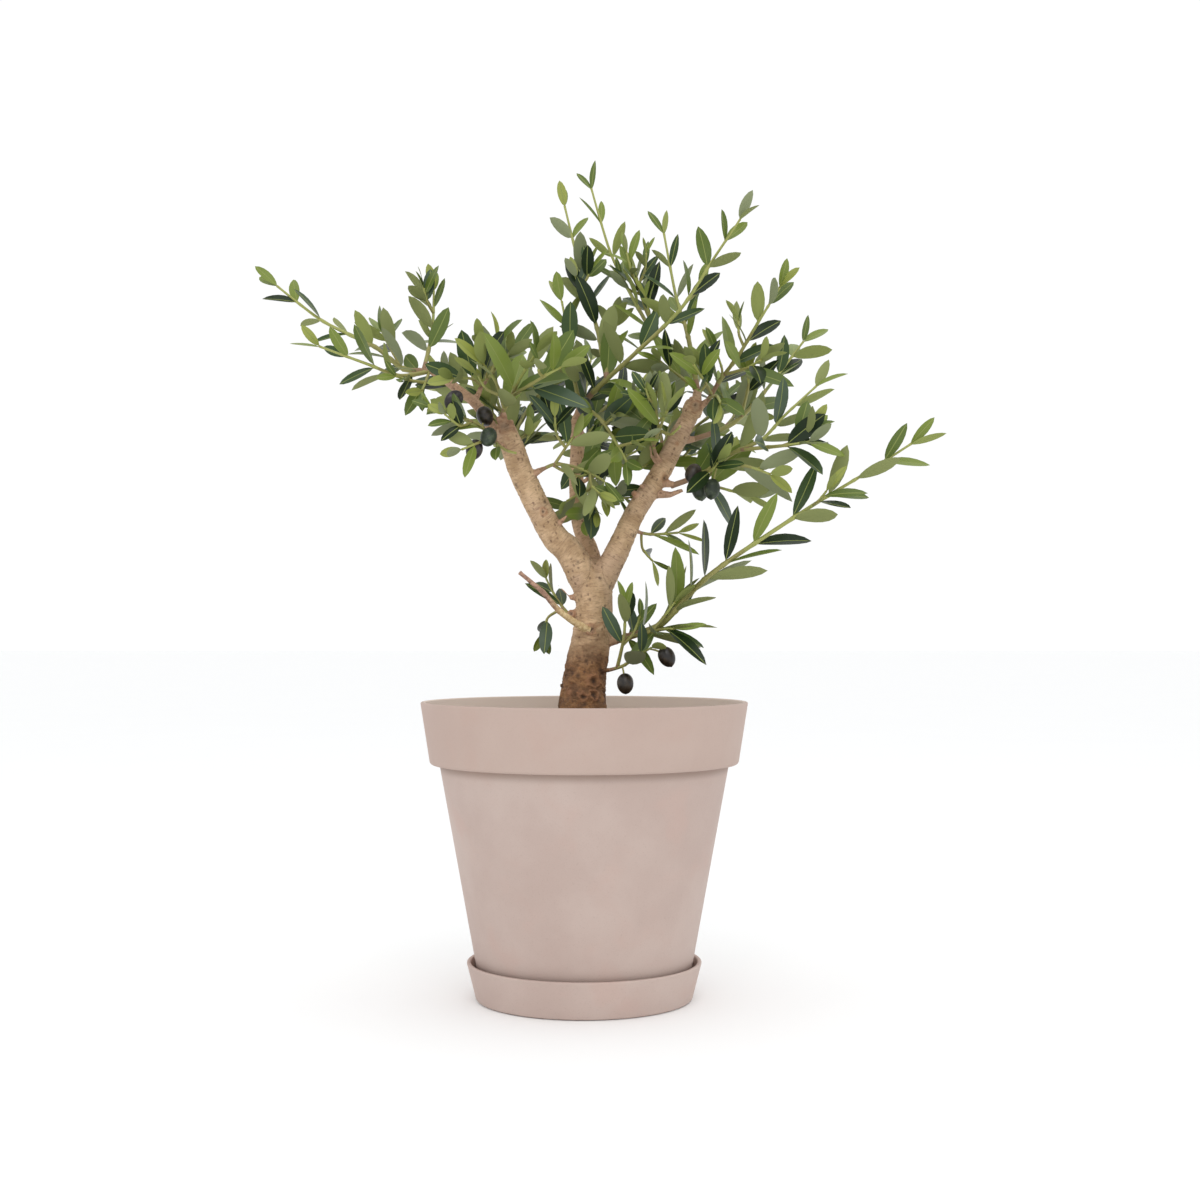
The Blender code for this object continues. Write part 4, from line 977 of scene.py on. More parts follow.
def limb_sides(radius):
    if radius > TRUNK_FROM:
        return TRUNK_SIDES
    return LIMB_SIDES if radius > LIMB_FROM else THIN_LIMB_SIDES


def limb_tube(limb):
    return tube(*limb_line(limb.points, LIMB_PIECES), limb_sides(limb.points[0][1]))


def arm(foot, foot_radius, path, radius, sides):
    """The stub that carries a limb or a stem, cut flat 0.3 mm before its first point."""
    heading = (path[1] - path[0]).normalized()
    end = path[0] - heading * GAP
    return tube([Vector(foot), end - heading * ARM_END, end], [foot_radius, radius, radius], sides)


def corners_of(bm):
    places = [vert.co for vert in bm.verts]
    return ([min(place[axis] for place in places) for axis in range(3)],
            [max(place[axis] for place in places) for axis in range(3)])


def boxes_meet(box, other):
    return all(box[0][axis] <= other[1][axis] and other[0][axis] <= box[1][axis] for axis in range(3))


class Taken:
    """The room that limbs, twigs, leaves and fruit have taken, each with its owner."""

    def __init__(self):
        self.solids = []

    def add(self, bm, owner):
        self.solids.append((corners_of(bm), BVHTree.FromBMesh(bm), owner))

    def meets(self, bm, wanted):
        """Whether a solid cuts one whose owner is wanted."""
        box = corners_of(bm)
        own = BVHTree.FromBMesh(bm)
        return any(wanted(owner) and boxes_meet(box, other) and own.overlap(tree)
                   for other, tree, owner in self.solids)


# %% [markdown]
# A twig is kept where it is clear of the limbs and of the other masses. A leaf has a
# few tries to find a free side, keeps to its mass's own room, and leaves the fork and
# the two boughs open to view from the front. One leaf in ten has dropped.

# %% What may grow
OUTER_FROM = 0.25          # the outer part of a leaf, for its clearance in its own mass
TRIES = 4                  # for a leaf to find a free side
SPACE_REACH = 0.050        # how far a mass's space goes past its shoots
CLEAR = 0.0006             # kept between a leaf and its neighbours in other masses
FALLEN = 0.10              # share of the leaves that have dropped
# No leaf hangs before these boughs, up to these heights.
OPEN_BOUGHS = {"left_bough": 0.500, "right_bough": 0.548}
OPEN_EDGE = 0.003          # and this far aside of them
OPEN_PIECES = 6            # places between two of their points
OPEN_SHARES = (0.3, 0.65, 1.0)    # of a leaf's length, where that is tried


def space_of(twigs):
    points = [point for twig in twigs for point in twig.path]
    low = [min(point[axis] for point in points) - SPACE_REACH for axis in range(3)]
    high = [max(point[axis] for point in points) + SPACE_REACH for axis in range(3)]
    return low, high


def in_space(leaf, space):
    """Whether a leaf's tip keeps to the box round its mass."""
    tip = blade_point(leaf, 1.0)
    return all(low <= value <= high for low, value, high in zip(space[0], tip, space[1]))


def keep_twigs(mass, twigs, taken):
    """The mass's twigs that are clear of the limbs and of the other masses' twigs."""
    kept = []
    for twig in twigs:
        bm = twig_tube(twig)
        clear = not taken.meets(bm, lambda owner: owner != mass.name)
        if clear:
            kept.append(twig)
            taken.add(bm, mass.name)
        bm.free()
    return kept


def open_places():
    """Places and radii along the boughs that stand clear of leaves in front."""
    places = []
    for limb in LIMBS:
        if limb.name in OPEN_BOUGHS:
            line = zip(*limb_line(limb.points, OPEN_PIECES))
            places += [(point, radius) for point, radius in line if point.z < OPEN_BOUGHS[limb.name]]
    return places


def before_bough(leaf, places):
    """Whether a leaf hangs in front of a bough that stands clear."""
    for share in OPEN_SHARES:
        point = blade_point(leaf, share)
        for place, radius in places:
            aside = math.hypot(point.x - place.x, point.z - place.z)
            if point.y < place.y and aside < radius + OPEN_EDGE:
                return True
    return False


BOUGHS_SEEN = open_places()


def free_leaf(mass, number, twig, place, space, taken):
    """The first try of a leaf that is clear of all the others, or nothing.

    The whole leaf stays clear of the limbs and the other masses, and its outer part
    stays clear of its own mass. A few leaves have fallen.
    """
    for attempt in range(TRIES):
        rng = random.Random(f"{mass.name} {number} {place[0]} {place[1]} {attempt}")
        if rng.random() < FALLEN and not place[3]:
            return None
        leaf = leaf_at(twig, place, rng)
        whole = leaf_solid(leaf, spare=CLEAR)
        outer = leaf_solid(leaf, start=OUTER_FROM)
        clear = not (taken.meets(whole, lambda owner: owner != mass.name)
                     or taken.meets(outer, lambda owner: owner == mass.name)
                     or before_bough(leaf, BOUGHS_SEEN))
        if clear and in_space(leaf, space):
            taken.add(whole, mass.name)
        whole.free()
        outer.free()
        if clear and in_space(leaf, space):
            return leaf
    return None


def hang_fruit(mass, twigs, taken):
    """Each fruit with its stalk, where both are clear of the limbs and the other masses."""
    hung = []
    for fruit in mass.fruit:
        centre = Vector(fruit.centre)
        olive = olive_solid(centre)
        stalk = tube([along(twigs[fruit.shoot].path, fruit.at), centre], [STALK_R, STALK_R], TWIG_SIDES)
        if any(taken.meets(part, lambda owner: owner != mass.name) for part in (olive, stalk)):
            continue
        for part in (olive, stalk):
            taken.add(part, mass.name)
        hung.append((fruit, twigs[fruit.shoot].path))
    return hung


# %% [markdown]
# ## Growing the crown
# The room that the limbs, twigs, fruit and leaves take is kept as solids, and nothing
# new may cut what another mass has. First come the solids' own twigs, fruit and
# leaves. Then finer side twigs are drawn on the same shoots, with smaller leaves, and
# only those that find free room inside the same reach are kept.

# %% Grow what the solids have
SPUR_SWELLS = (1.6, 1.2)   # a spur's radii at its foot and its end, over its stem's

GROWTH = {mass.name: twigs_of(mass, random.Random(mass.name)) for mass in MASSES}
taken = Taken()
for limb in LIMBS:
    parts = [limb_tube(limb)]
    for other in LIMBS:
        if other.carrier == limb.name:
            path, _ = limb_line(other.points, LIMB_PIECES)
            radius = other.points[0][1]
            parts.append(arm(other.foot, other.foot_radius, path, radius, limb_sides(radius)))
    for mass in MASSES:
        if mass.limb == limb.name:
            stem = GROWTH[mass.name][0]
            foot, end = (stem.radii[0] * swell for swell in SPUR_SWELLS)
            parts.append(arm(mass.foot, foot, stem.path, end, SPUR_SIDES))
    for part in parts:
        taken.add(part, "limb")
twigs_kept = {mass.name: keep_twigs(mass, GROWTH[mass.name], taken) for mass in MASSES}
fruit_kept = {mass.name: hang_fruit(mass, twigs_kept[mass.name], taken) for mass in MASSES}

Spray = namedtuple("Spray", "leaf mass share last fine")
sprays = []
for mass in MASSES:
    space = space_of(twigs_kept[mass.name])
    for number, twig in enumerate(twigs_kept[mass.name]):
        for place in leaf_places(twig):
            leaf = free_leaf(mass, number, twig, place, space, taken)
            if leaf:
                sprays.append(Spray(leaf, mass.name, place[2], place[3], False))
print(len(sprays), "leaves that the solids have,", sum(map(len, fruit_kept.values())), "olives")

# %% [markdown]
# The crown is carried on to finer twigs. They are sparse at the ends of the boughs,
# where the sky shows between the shoots, and close in the masses behind and within.

# %% Finer twigs
FINE_TWIG = (0.016, 0.034)
FINE_TWIG_AT = (0.10, 0.85)
FINE_TWIG_LEAN = (0.8, 0.5, 0.3)
FINE_TWIG_PAIRS = (1, 2)
FINE_TWIG_LEAF = 0.82
FINE_OPEN = 5              # finer twigs to a metre of twig, where the sky shows
FINE_FULL = 20             # and in the masses behind and within
FINE_NUMBER = 1000         # their leaves' seeds count on from here
BOX_EDGE = 0.002           # kept between a leaf's tip and the part's own box
FULL_MASSES = ("left_back_foliage", "right_back_foliage", "back_foliage", "inner_foliage",
               "inner_left_foliage", "inner_right_foliage")


def inside_box(leaf):
    """Whether a leaf's tip keeps to the part's own box."""
    tip = blade_point(leaf, 1.0)
    return all(low + BOX_EDGE < value < high - BOX_EDGE
               for low, value, high in zip(cad_box[0], tip, cad_box[1]))


def fine_twig(parent, rng):
    """A thin twig from the side of another, with a pair or two of leaves."""
    share = rng.uniform(*FINE_TWIG_AT)
    points = side_points(parent, share, rng.uniform(*FINE_TWIG), FINE_TWIG_LEAN, rng)
    return twig_along(points, rng.choice(FINE_TWIG_PAIRS), parent.leaf * FINE_TWIG_LEAF,
                      parent.wide, rng.uniform(0, PAIR_TURN))


fine_kept = {mass.name: [] for mass in MASSES}
for mass in MASSES:
    rng = random.Random(mass.name + " finer twigs")
    twigs = twigs_kept[mass.name]
    space = space_of(twigs)
    length = sum(length_of(twig.path) for twig in twigs)
    per_metre = FINE_FULL if mass.name in FULL_MASSES else FINE_OPEN
    for number in range(round(length * per_metre)):
        twig = fine_twig(twigs[rng.randrange(len(twigs))], rng)
        bm = twig_tube(twig)
        if not taken.meets(bm, lambda owner: owner != mass.name):
            taken.add(bm, mass.name)
            fine_kept[mass.name].append(twig)
            for place in leaf_places(twig):
                leaf = free_leaf(mass, FINE_NUMBER + number, twig, place, space, taken)
                if leaf and inside_box(leaf):
                    sprays.append(Spray(leaf, mass.name, place[2], place[3], True))
        bm.free()
print(len(sprays), "leaves in all,", sum(map(len, fine_kept.values())), "finer twigs")

# %% [markdown]
# ## The bark
# The trunk forks into boughs without a joint, with a soft collar at each branch. Three
# ways were open: one tube per limb with visible joins, a subdivided skin, or a voxel
# remesh of overlapping tubes. The remesh is used, because it melts the tubes, the
# pruned stubs and the short spurs of the twigs into one skin of even faces, fine
# enough to carry the relief as real geometry.

# %% Stubs, and the skin
SKIN = 0.0010              # across one face of the skin
SKIN_SOFTER = 4            # times that it is smoothed
LINE_PIECES = 12
TRUNK_ROOT = ((-0.002, 0.0, 0.239), 0.0285)    # inside the soil
SPUR_PIECES, STUB_PIECES = 4, 3
SPUR_REACH = 0.004         # how far a spur's bark runs up its stem
SPUR_BARK = (1.7, 1.15)    # its radii, over the stem's
THICK, THICK_SIDES, THIN_SIDES = 0.009, 32, 16

Stub = namedtuple("Stub", "base tip base_radius tip_radius")

STUBS = (
    Stub((-0.0230, -0.0150, 0.4330), (-0.0150, -0.0210, 0.4405), 0.0030, 0.0008),
    Stub((-0.0520, -0.0170, 0.4770), (-0.0385, -0.0230, 0.4825), 0.0032, 0.0018),
    Stub((-0.0385, -0.0230, 0.4825), (-0.0300, -0.0250, 0.4850), 0.0018, 0.0010),
    Stub((0.0660, 0.0080, 0.4620), (0.0790, -0.0005, 0.4605), 0.0046, 0.0030),
    Stub((0.0790, -0.0005, 0.4605), (0.0905, -0.0040, 0.4645), 0.0028, 0.0017),
    Stub((0.0500, 0.0030, 0.4590), (0.0448, -0.0050, 0.4622), 0.0036, 0.0026),
    Stub((0.0570, 0.0040, 0.4680), (0.0510, -0.0030, 0.4690), 0.0030, 0.0014),
    Stub((0.0700, 0.0080, 0.4870), (0.0618, 0.0010, 0.4960), 0.0030, 0.0016),
    Stub((0.0618, 0.0010, 0.4960), (0.0606, -0.0020, 0.5060), 0.0016, 0.0009),
    Stub((-0.0700, -0.0240, 0.5150), (-0.0780, -0.0290, 0.5290), 0.0060, 0.0026),
    Stub((-0.0700, -0.0240, 0.5150), (-0.0655, -0.0290, 0.5260), 0.0050, 0.0022),
    Stub((0.0990, 0.0190, 0.5370), (0.1035, 0.0185, 0.5480), 0.0098, 0.0090),
    Stub((0.1010, 0.0160, 0.5420), (0.1000, 0.0120, 0.5530), 0.0046, 0.0024),
    Stub((-0.0030, 0.0020, 0.3520), (-0.0135, -0.0050, 0.3500), 0.0055, 0.0034),
    Stub((-0.0050, 0.0000, 0.3660), (-0.0130, -0.0060, 0.3660), 0.0040, 0.0024),
    Stub((-0.0130, -0.0060, 0.3660), (-0.0270, -0.0080, 0.3800), 0.0009, 0.0006),
    Stub((-0.0120, 0.0000, 0.2850), (-0.0225, -0.0030, 0.2850), 0.0040, 0.0016),
    Stub((0.0060, -0.0080, 0.3340), (0.0030, -0.0185, 0.3372), 0.0058, 0.0046),
    Stub((-0.0980, -0.0200, 0.5410), (-0.1040, -0.0250, 0.5440), 0.0046, 0.0028),
    Stub((0.0000, 0.0300, 0.4500), (0.0060, 0.0200, 0.4560), 0.0040, 0.0020),
)

skin = bmesh.new()
lines = []
for limb in LIMBS:
    if limb.name == "dead_twig":
        continue
    root = (limb.foot, limb.foot_radius) if limb.foot else TRUNK_ROOT
    lines.append(limb_line((root, *limb.points), LINE_PIECES))
for mass in MASSES:
    stem = GROWTH[mass.name][0]
    end = stem.path[0] + direction(stem.path, 0.0) * SPUR_REACH
    first, last = (stem.radii[0] * swell for swell in SPUR_BARK)
    lines.append(straight_line(Vector(mass.foot), end, SPUR_PIECES, first, last))
for stub in STUBS:
    lines.append(straight_line(Vector(stub.base), Vector(stub.tip), STUB_PIECES,
                               stub.base_radius, stub.tip_radius))
for path, radii in lines:
    add_tube(skin, path, radii, THICK_SIDES if radii[0] > THICK else THIN_SIDES)
bmesh.ops.recalc_face_normals(skin, faces=skin.faces)

raw = bpy.data.objects.new("raw_bark", mesh_from("raw_bark", skin))
scene.collection.objects.link(raw)
melt = raw.modifiers.new("melt", "REMESH")
melt.mode = "VOXEL"
melt.voxel_size = SKIN
bpy.context.view_layer.update()
melted = bpy.data.meshes.new_from_object(raw.evaluated_get(bpy.context.evaluated_depsgraph_get()))
bpy.data.objects.remove(raw)
skin = bmesh.new()
skin.from_mesh(melted)
bpy.data.meshes.remove(melted)
for _ in range(SKIN_SOFTER):
    bmesh.ops.smooth_vert(skin, verts=skin.verts, factor=0.5,
                          use_axis_x=True, use_axis_y=True, use_axis_z=True)
skin.normal_update()
print(len(skin.verts), "points in the skin")

# %% [markdown]
# Bark follows its limb: its wrinkles run round it and its flutes run along it. So each
# point of the skin is given a place on the nearest limb, as two numbers across and one
# along, and the relief is noise read from that place. The same place is kept with the
# mesh as "grain", so that the colour follows the limb in the same way.

# %% Each point's place on its limb
LIMB_APART = 0.37          # added to each limb's length, so that no two share their grain
BLOCKS = 24                # the points are measured in this many blocks, to save memory

centres, aheads, sides, overs, sizes, lengths = [], [], [], [], [], []
for number, (path, radii) in enumerate(lines):
    travelled = LIMB_APART * number
    for index, (turn, radius) in enumerate(zip(frames(path), radii)):
        travelled += (path[index] - path[index - 1]).length if index else 0.0
        sides.append(turn.col[0].xyz)
        overs.append(turn.col[1].xyz)
        aheads.append(turn.col[2].xyz)
        centres.append(turn.translation)
        sizes.append(radius)
        lengths.append(travelled)
centres, aheads, sides, overs = (np.array(rows) for rows in (centres, aheads, sides, overs))
sizes, lengths = np.array(sizes), np.array(lengths)

points = np.array([vert.co for vert in skin.verts])
nearest = np.concatenate([
    np.argmin(np.linalg.norm(block[:, None] - centres[None], axis=2) - sizes[None], axis=1)
    for block in np.array_split(points, BLOCKS)])
offset = points - centres[nearest]
grain_place = np.stack([(offset * sides[nearest]).sum(1), (offset * overs[nearest]).sum(1),
                        lengths[nearest] + (offset * aheads[nearest]).sum(1)], axis=1)
girth = sizes[nearest]
print("limb radius from", round(girth.min() * 1000, 1), "to", round(girth.max() * 1000, 1), "mm")

# %% [markdown]
# Old wounds give the bark its character: eyes, which are a raised ring round a dark
# hollow where a shoot once grew, knobs of callus, and pits. Most of the eyes are at the
# foot of the trunk. Each scar is placed as it is seen from the front, and a straight
# line from there finds the bark.

# %% Scars
Scar = namedtuple("Scar", "x z size kind")

SCARS = (
    Scar(0.0089, 0.2896, 0.0062, "eye"), Scar(-0.0011, 0.2751, 0.0046, "eye"),
    Scar(-0.0138, 0.2790, 0.0045, "knob"), Scar(0.0089, 0.2769, 0.0052, "eye"),
    Scar(-0.0056, 0.2942, 0.0034, "pit"), Scar(-0.0110, 0.2965, 0.0026, "pit"),
    Scar(-0.0205, 0.2851, 0.0028, "pit"), Scar(0.0005, 0.2690, 0.0030, "pit"),
    Scar(0.0160, 0.2990, 0.0030, "pit"), Scar(0.0020, 0.3080, 0.0030, "pit"),
    Scar(-0.0125, 0.3505, 0.0040, "eye"), Scar(0.0062, 0.3366, 0.0052, "eye"),
    Scar(0.0152, 0.3833, 0.0026, "pit"), Scar(0.0239, 0.3752, 0.0020, "pit"),
    Scar(0.0192, 0.3580, 0.0022, "pit"), Scar(-0.0055, 0.3979, 0.0018, "pit"),
    Scar(-0.0356, 0.4524, 0.0024, "pit"), Scar(-0.0372, 0.4436, 0.0036, "eye"),
    Scar(-0.0620, 0.4673, 0.0026, "pit"), Scar(0.0741, 0.4762, 0.0038, "eye"),
    Scar(0.0459, 0.4610, 0.0030, "knob"), Scar(0.0451, 0.4226, 0.0020, "pit"),
    Scar(0.0549, 0.4409, 0.0018, "pit"), Scar(0.0855, 0.5081, 0.0024, "knob"),
    Scar(0.1030, 0.5440, 0.0060, "cut"), Scar(-0.0715, 0.5200, 0.0080, "cut"),
)
CRACK = ((0.0100, 0.3385), (0.0150, 0.3410), (0.0205, 0.3455), (0.0240, 0.3500))

SCAR_REACH = 2.5           # over a scar's size: past this it leaves the bark alone
SCAR_UNEVEN = 0.55
SCAR_GRAIN = 260.0
tree = BVHTree.FromBMesh(skin)


def on_bark(x, z):
    """The bark's front at this place across and up."""
    place = tree.ray_cast(Vector((x, -0.2, z)), Vector((0.0, 1.0, 0.0)))[0]
    return place or tree.find_nearest(Vector((x, -0.02, z)))[0]


rise = np.zeros(len(points))
stain = np.zeros(len(points))
callus = np.zeros(len(points))
for scar in SCARS:
    away = np.linalg.norm(points - np.array(on_bark(scar.x, scar.z)), axis=1) / scar.size
    for index in np.nonzero(away < SCAR_REACH)[0]:
        away[index] *= 1.0 + SCAR_UNEVEN * noise.noise(Vector(points[index]) * SCAR_GRAIN)
    core = np.exp(-(away / 0.42) ** 2)
    ring = np.exp(-((away - 0.85) / 0.30) ** 2)
    dome = np.exp(-(away / 0.75) ** 2)
    if scar.kind == "eye":
        rise += scar.size * (0.26 * ring - 0.22 * core)
        stain = np.maximum(stain, core)
        callus = np.maximum(callus, ring * 0.8)
    elif scar.kind == "knob":
        rise += scar.size * 0.30 * dome
        callus = np.maximum(callus, dome)
    elif scar.kind == "cut":
        stain = np.maximum(stain, dome * 0.55)
        callus = np.maximum(callus, ring * 0.7)
    else:
        rise -= scar.size * 0.10 * dome
        stain = np.maximum(stain, dome * 0.85)
for (x0, z0), (x1, z1) in zip(CRACK, CRACK[1:]):
    for share in (0.0, 0.25, 0.5, 0.75, 1.0):
        place = np.array(on_bark(x0 + (x1 - x0) * share, z0 + (z1 - z0) * share))
        away = np.exp(-(np.linalg.norm(points - place, axis=1) / 0.0013) ** 2)
        rise -= 0.00012 * away
        callus = np.maximum(callus, away)

# %% [markdown]
# The relief is the sum of slow flutes along the limb, lumps, and sharp folds across
# it. It is stronger at the foot of the trunk, and there it swells into low ridges.

# %% Relief
for index, (x, y, z) in enumerate(grain_place):
    radius = girth[index]
    low = 1.0 - min(max((points[index][2] - 0.290) / 0.040, 0.0), 1.0)
    flute = noise.noise(Vector((x / radius * 1.1, y / radius * 1.1, z * 22.0)))
    lump = noise.fractal(Vector((x * 110.0, y * 110.0, z * 85.0)), 0.9, 2.0, 3)
    fold = abs(noise.noise(Vector((x * 95.0, y * 95.0, z * 330.0 + 2.2 * lump))))
    rise[index] += radius * 0.055 * flute + (0.00028 + 0.0004 * low) * lump
    rise[index] -= (0.00034 + 0.00030 * low) * min(radius / 0.012, 1.0) * (1.0 - fold * 3.2)
    ridge = math.cos(math.atan2(y, x) * 5.0 + 1.0 + 25.0 * z)
    rise[index] += 0.0011 * ridge * max(0.0, 1.0 - (points[index][2] - 0.243) / 0.022)
normals = np.array([vert.normal for vert in skin.verts])
points = points + normals * rise[:, None]
for vert, place in zip(skin.verts, points):
    vert.co = place
for face in skin.faces:
    face.smooth = True

# %% [markdown]
# The bark is light tan and satiny on the boughs, pinker on the thin limbs, and dark
# umber at the foot, where the pot keeps it damp. Fine dark wrinkles run round it, and
# pores dot it. The wrinkles and pores are read from the grain, the damp foot from the
# height, and the wounds from the values that were painted on the points.

# %% Bark finish
bark_finish = Finish("olive_bark", roughness=0.78)
spot = bark_finish.place()
run = bark_finish.node("ShaderNodeAttribute", {"attribute_name": "grain"}, {}, out=1)
wound = bark_finish.node("ShaderNodeAttribute", {"attribute_name": "stain"}, {}, out=2)
healed = bark_finish.node("ShaderNodeAttribute", {"attribute_name": "callus"}, {}, out=2)
thin = bark_finish.node("ShaderNodeAttribute", {"attribute_name": "slender"}, {}, out=2)
height = bark_finish.node("ShaderNodeSeparateXYZ", {}, {0: spot}, out=2)
mottle = bark_finish.noise(spot, 75.0, detail=5.0, rough=0.6)
broad = bark_finish.noise(spot, 22.0, detail=3.0, twist=0.6)
wrinkle = bark_finish.noise(bark_finish.stretched(run, (1.0, 1.0, 5.0)), 130.0,
                            detail=4.0, rough=0.62, twist=0.4)
crease = bark_finish.noise(bark_finish.stretched(run, (1.0, 1.0, 3.2)), 260.0, detail=3.0, twist=0.8)
pores = bark_finish.spots(bark_finish.stretched(run, (1.0, 1.0, 0.7)), 190.0, 0.26)
damp = 1.0 - (height + (broad - 0.5) * 0.030 + (mottle - 0.5) * 0.020).between(0.300, 0.336)
tan = bark_finish.mix(mottle.between(0.32, 0.68), colour(178, 146, 110), colour(216, 184, 147))
tan = bark_finish.mix(broad.between(0.46, 0.66) * 0.6, tan, colour(194, 164, 138))
tan = bark_finish.mix(thin * 0.65, tan, colour(188, 147, 122))
umber = bark_finish.mix(mottle.between(0.35, 0.66), colour(98, 68, 42), colour(156, 114, 74))
umber = bark_finish.mix((crease.between(0.56, 0.70)) * 0.6, umber, colour(160, 104, 64))
skin_tone = bark_finish.mix(damp, tan, umber)
skin_tone = bark_finish.mix((1.0 - wrinkle.between(0.34, 0.50)) * 0.42, skin_tone, colour(112, 78, 56))
skin_tone = bark_finish.mix((1.0 - crease.between(0.30, 0.44)) * 0.30, skin_tone, colour(96, 66, 48))
skin_tone = bark_finish.mix(pores * 0.55, skin_tone, colour(84, 56, 40))
skin_tone = bark_finish.mix(healed * 0.75, skin_tone, colour(166, 118, 84))
skin_tone = bark_finish.mix(wound * 0.9, skin_tone, colour(52, 34, 26))
bark_finish.wear("Base Color", skin_tone)
bark_finish.wear("Roughness", 0.70 + mottle * 0.2)
bark_finish.bump(wrinkle * 0.7 + crease * 0.5 + mottle * 0.4, 0.0009)

bark_mesh = mesh_from("bark", skin)
for name, kind, values in (("grain", "FLOAT_VECTOR", grain_place.ravel()), ("stain", "FLOAT", stain),
                           ("callus", "FLOAT", np.clip(callus, 0, 1)),
                           ("slender", "FLOAT", np.clip(1.4 - girth / 0.007, 0, 1))):
    painted = bark_mesh.attributes.new(name, kind, "POINT")
    painted.data.foreach_set("vector" if kind == "FLOAT_VECTOR" else "value", values.astype(np.float32))
bark = piece_from("bark", bark_mesh, bark_finish)
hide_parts("trunk", "left_bough", "right_bough", "middle_bough", "left_limb")

# %% [markdown]
# ## The dead twig
# A bare twig, long dead and silvered to cream, leaves a ring of callus low on the
# trunk. It is a tube of its own, because its wood has no bark left: it is paler, with
# a few swollen nodes, and it ends snapped.

# %% Dead twig
DEAD_ROOT = ((0.0035, -0.0165, 0.3364), 0.0036)    # inside the trunk's collar
DEAD_PIECES, DEAD_SIDES = 9, 14
NODE_SWELL, NODE_STEP = 0.16, 0.70     # how much its nodes swell, and how often they come
PINK_FROM, PINK_TO = -0.034, -0.018    # across: its outer end is pinker

dead = next(limb for limb in LIMBS if limb.name == "dead_twig")
dead_path, dead_radii = limb_line((DEAD_ROOT, *dead.points), DEAD_PIECES)
dead_radii = [radius * (1.0 + NODE_SWELL * max(0.0, math.cos(index * NODE_STEP)) ** 8)
              for index, radius in enumerate(dead_radii)]
dead_wood = Finish("dead_wood", roughness=0.7)
spot = dead_wood.place()
aside = dead_wood.node("ShaderNodeSeparateXYZ", {}, {0: spot}, out=0)
streak = dead_wood.noise(dead_wood.stretched(spot, (0.5, 1.0, 0.6)), 420.0, detail=4.0, rough=0.6)
cream = dead_wood.mix(streak.between(0.35, 0.65), colour(196, 164, 118), colour(232, 208, 160))
pink = dead_wood.mix(streak.between(0.35, 0.65), colour(142, 108, 90), colour(190, 152, 128))
outer = 1.0 - (aside + (streak - 0.5) * 0.008).between(PINK_FROM, PINK_TO)
dead_wood.wear("Base Color", dead_wood.mix(outer, cream, pink))
dead_wood.bump(streak, 0.0004)
bm = bmesh.new()
add_tube(bm, dead_path, dead_radii, DEAD_SIDES)
bmesh.ops.recalc_face_normals(bm, faces=bm.faces)
for vert in bm.verts:
    vert.co += vert.normal * 0.00018 * noise.noise(vert.co * 500.0)
flat_ends(bm)
dead_piece = piece_from("dead_twig_wood", mesh_from("dead_twig_wood", bm), dead_wood)
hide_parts("dead_twig")

# %% [markdown]
# ## Leaves
# An olive leaf is leathery: dark and satiny above, pale and dull below, folded a little
# along a pale midrib and often bowed or twisted. Each one is a thin closed blade of
# forty faces, built row by row and joined with all the others. The faces of the upper
# side, the midrib, the underside and the stalk take different plain finishes, and the
# upper side's green is dealt out leaf by leaf: fresh at the tips of the shoots, deep
# or bluish further in. The deep green is partly a dark leaf's own colour and partly
# painted shade from inside the crown.

# %% Leaf finishes
# The deep green is partly a dark leaf's own colour and partly painted shade from inside the crown.
LEAF_TONES = {
    "deep": (26, 44, 18), "dark": (54, 76, 36), "mid": (90, 108, 46), "blue": (70, 88, 66),
    "fresh": (118, 134, 56), "young": (148, 156, 76),
}
SHEEN = 0.32
leaf_finishes = [Finish("leaf_" + name, roughness=0.36, specular_ior_level=SHEEN, base_color=colour(*tone))
                 for name, tone in LEAF_TONES.items()]
tone_slot = {name: index for index, name in enumerate(LEAF_TONES)}
UNDER, UNDER_GREY, UNDER_FRESH, RIB, STALK = range(len(LEAF_TONES), len(LEAF_TONES) + 5)
leaf_finishes += [
    Finish("underside", roughness=0.75, specular_ior_level=SHEEN, base_color=colour(134, 142, 88)),
    Finish("underside_grey", roughness=0.75, specular_ior_level=SHEEN, base_color=colour(136, 144, 108)),
    Finish("underside_fresh", roughness=0.70, specular_ior_level=SHEEN, base_color=colour(140, 150, 82)),
    Finish("midrib", roughness=0.5, specular_ior_level=SHEEN, base_color=colour(136, 146, 78)),
    Finish("leaf_stalk", roughness=0.55, specular_ior_level=SHEEN, base_color=colour(154, 152, 80)),
]

# %% [markdown]
# Half the blade's width follows a curve along the leaf. Each row of points is folded
# up a little on both sides of the rib, twisted along the leaf, and bent sideways.

# %% Leaf shape
ROWS = (0.0, 0.075, 0.15, 0.27, 0.42, 0.58, 0.74, 0.89)    # of the leaf's length
RIB_HALF = 0.00035
RIB_MOST = 0.4             # of half the blade's width
STALK_HALF = 0.0007
STALK_ENDS = 0.05          # of the leaf's length
BLADE_THICK = 0.0005
BLADE_FULL, BLADE_SLIMS = 0.92, 0.62    # how blunt a broad leaf is, and how that goes with width
FOLD, TWIST, BEND = (0.05, 0.34), (-0.5, 0.5), (-0.07, 0.07)


def half_width(leaf, share):
    """Half the blade's width: an ellipse for a broad leaf, a lance for a slim one."""
    out = (share - STALK_ENDS) / (1.0 - STALK_ENDS)
    if out <= 0.03:
        return STALK_HALF
    point = BLADE_FULL - BLADE_SLIMS * min(leaf.width / leaf.length, 0.5)
    return max(leaf.width / 2 * (4 * out * (1 - out)) ** point, STALK_HALF)


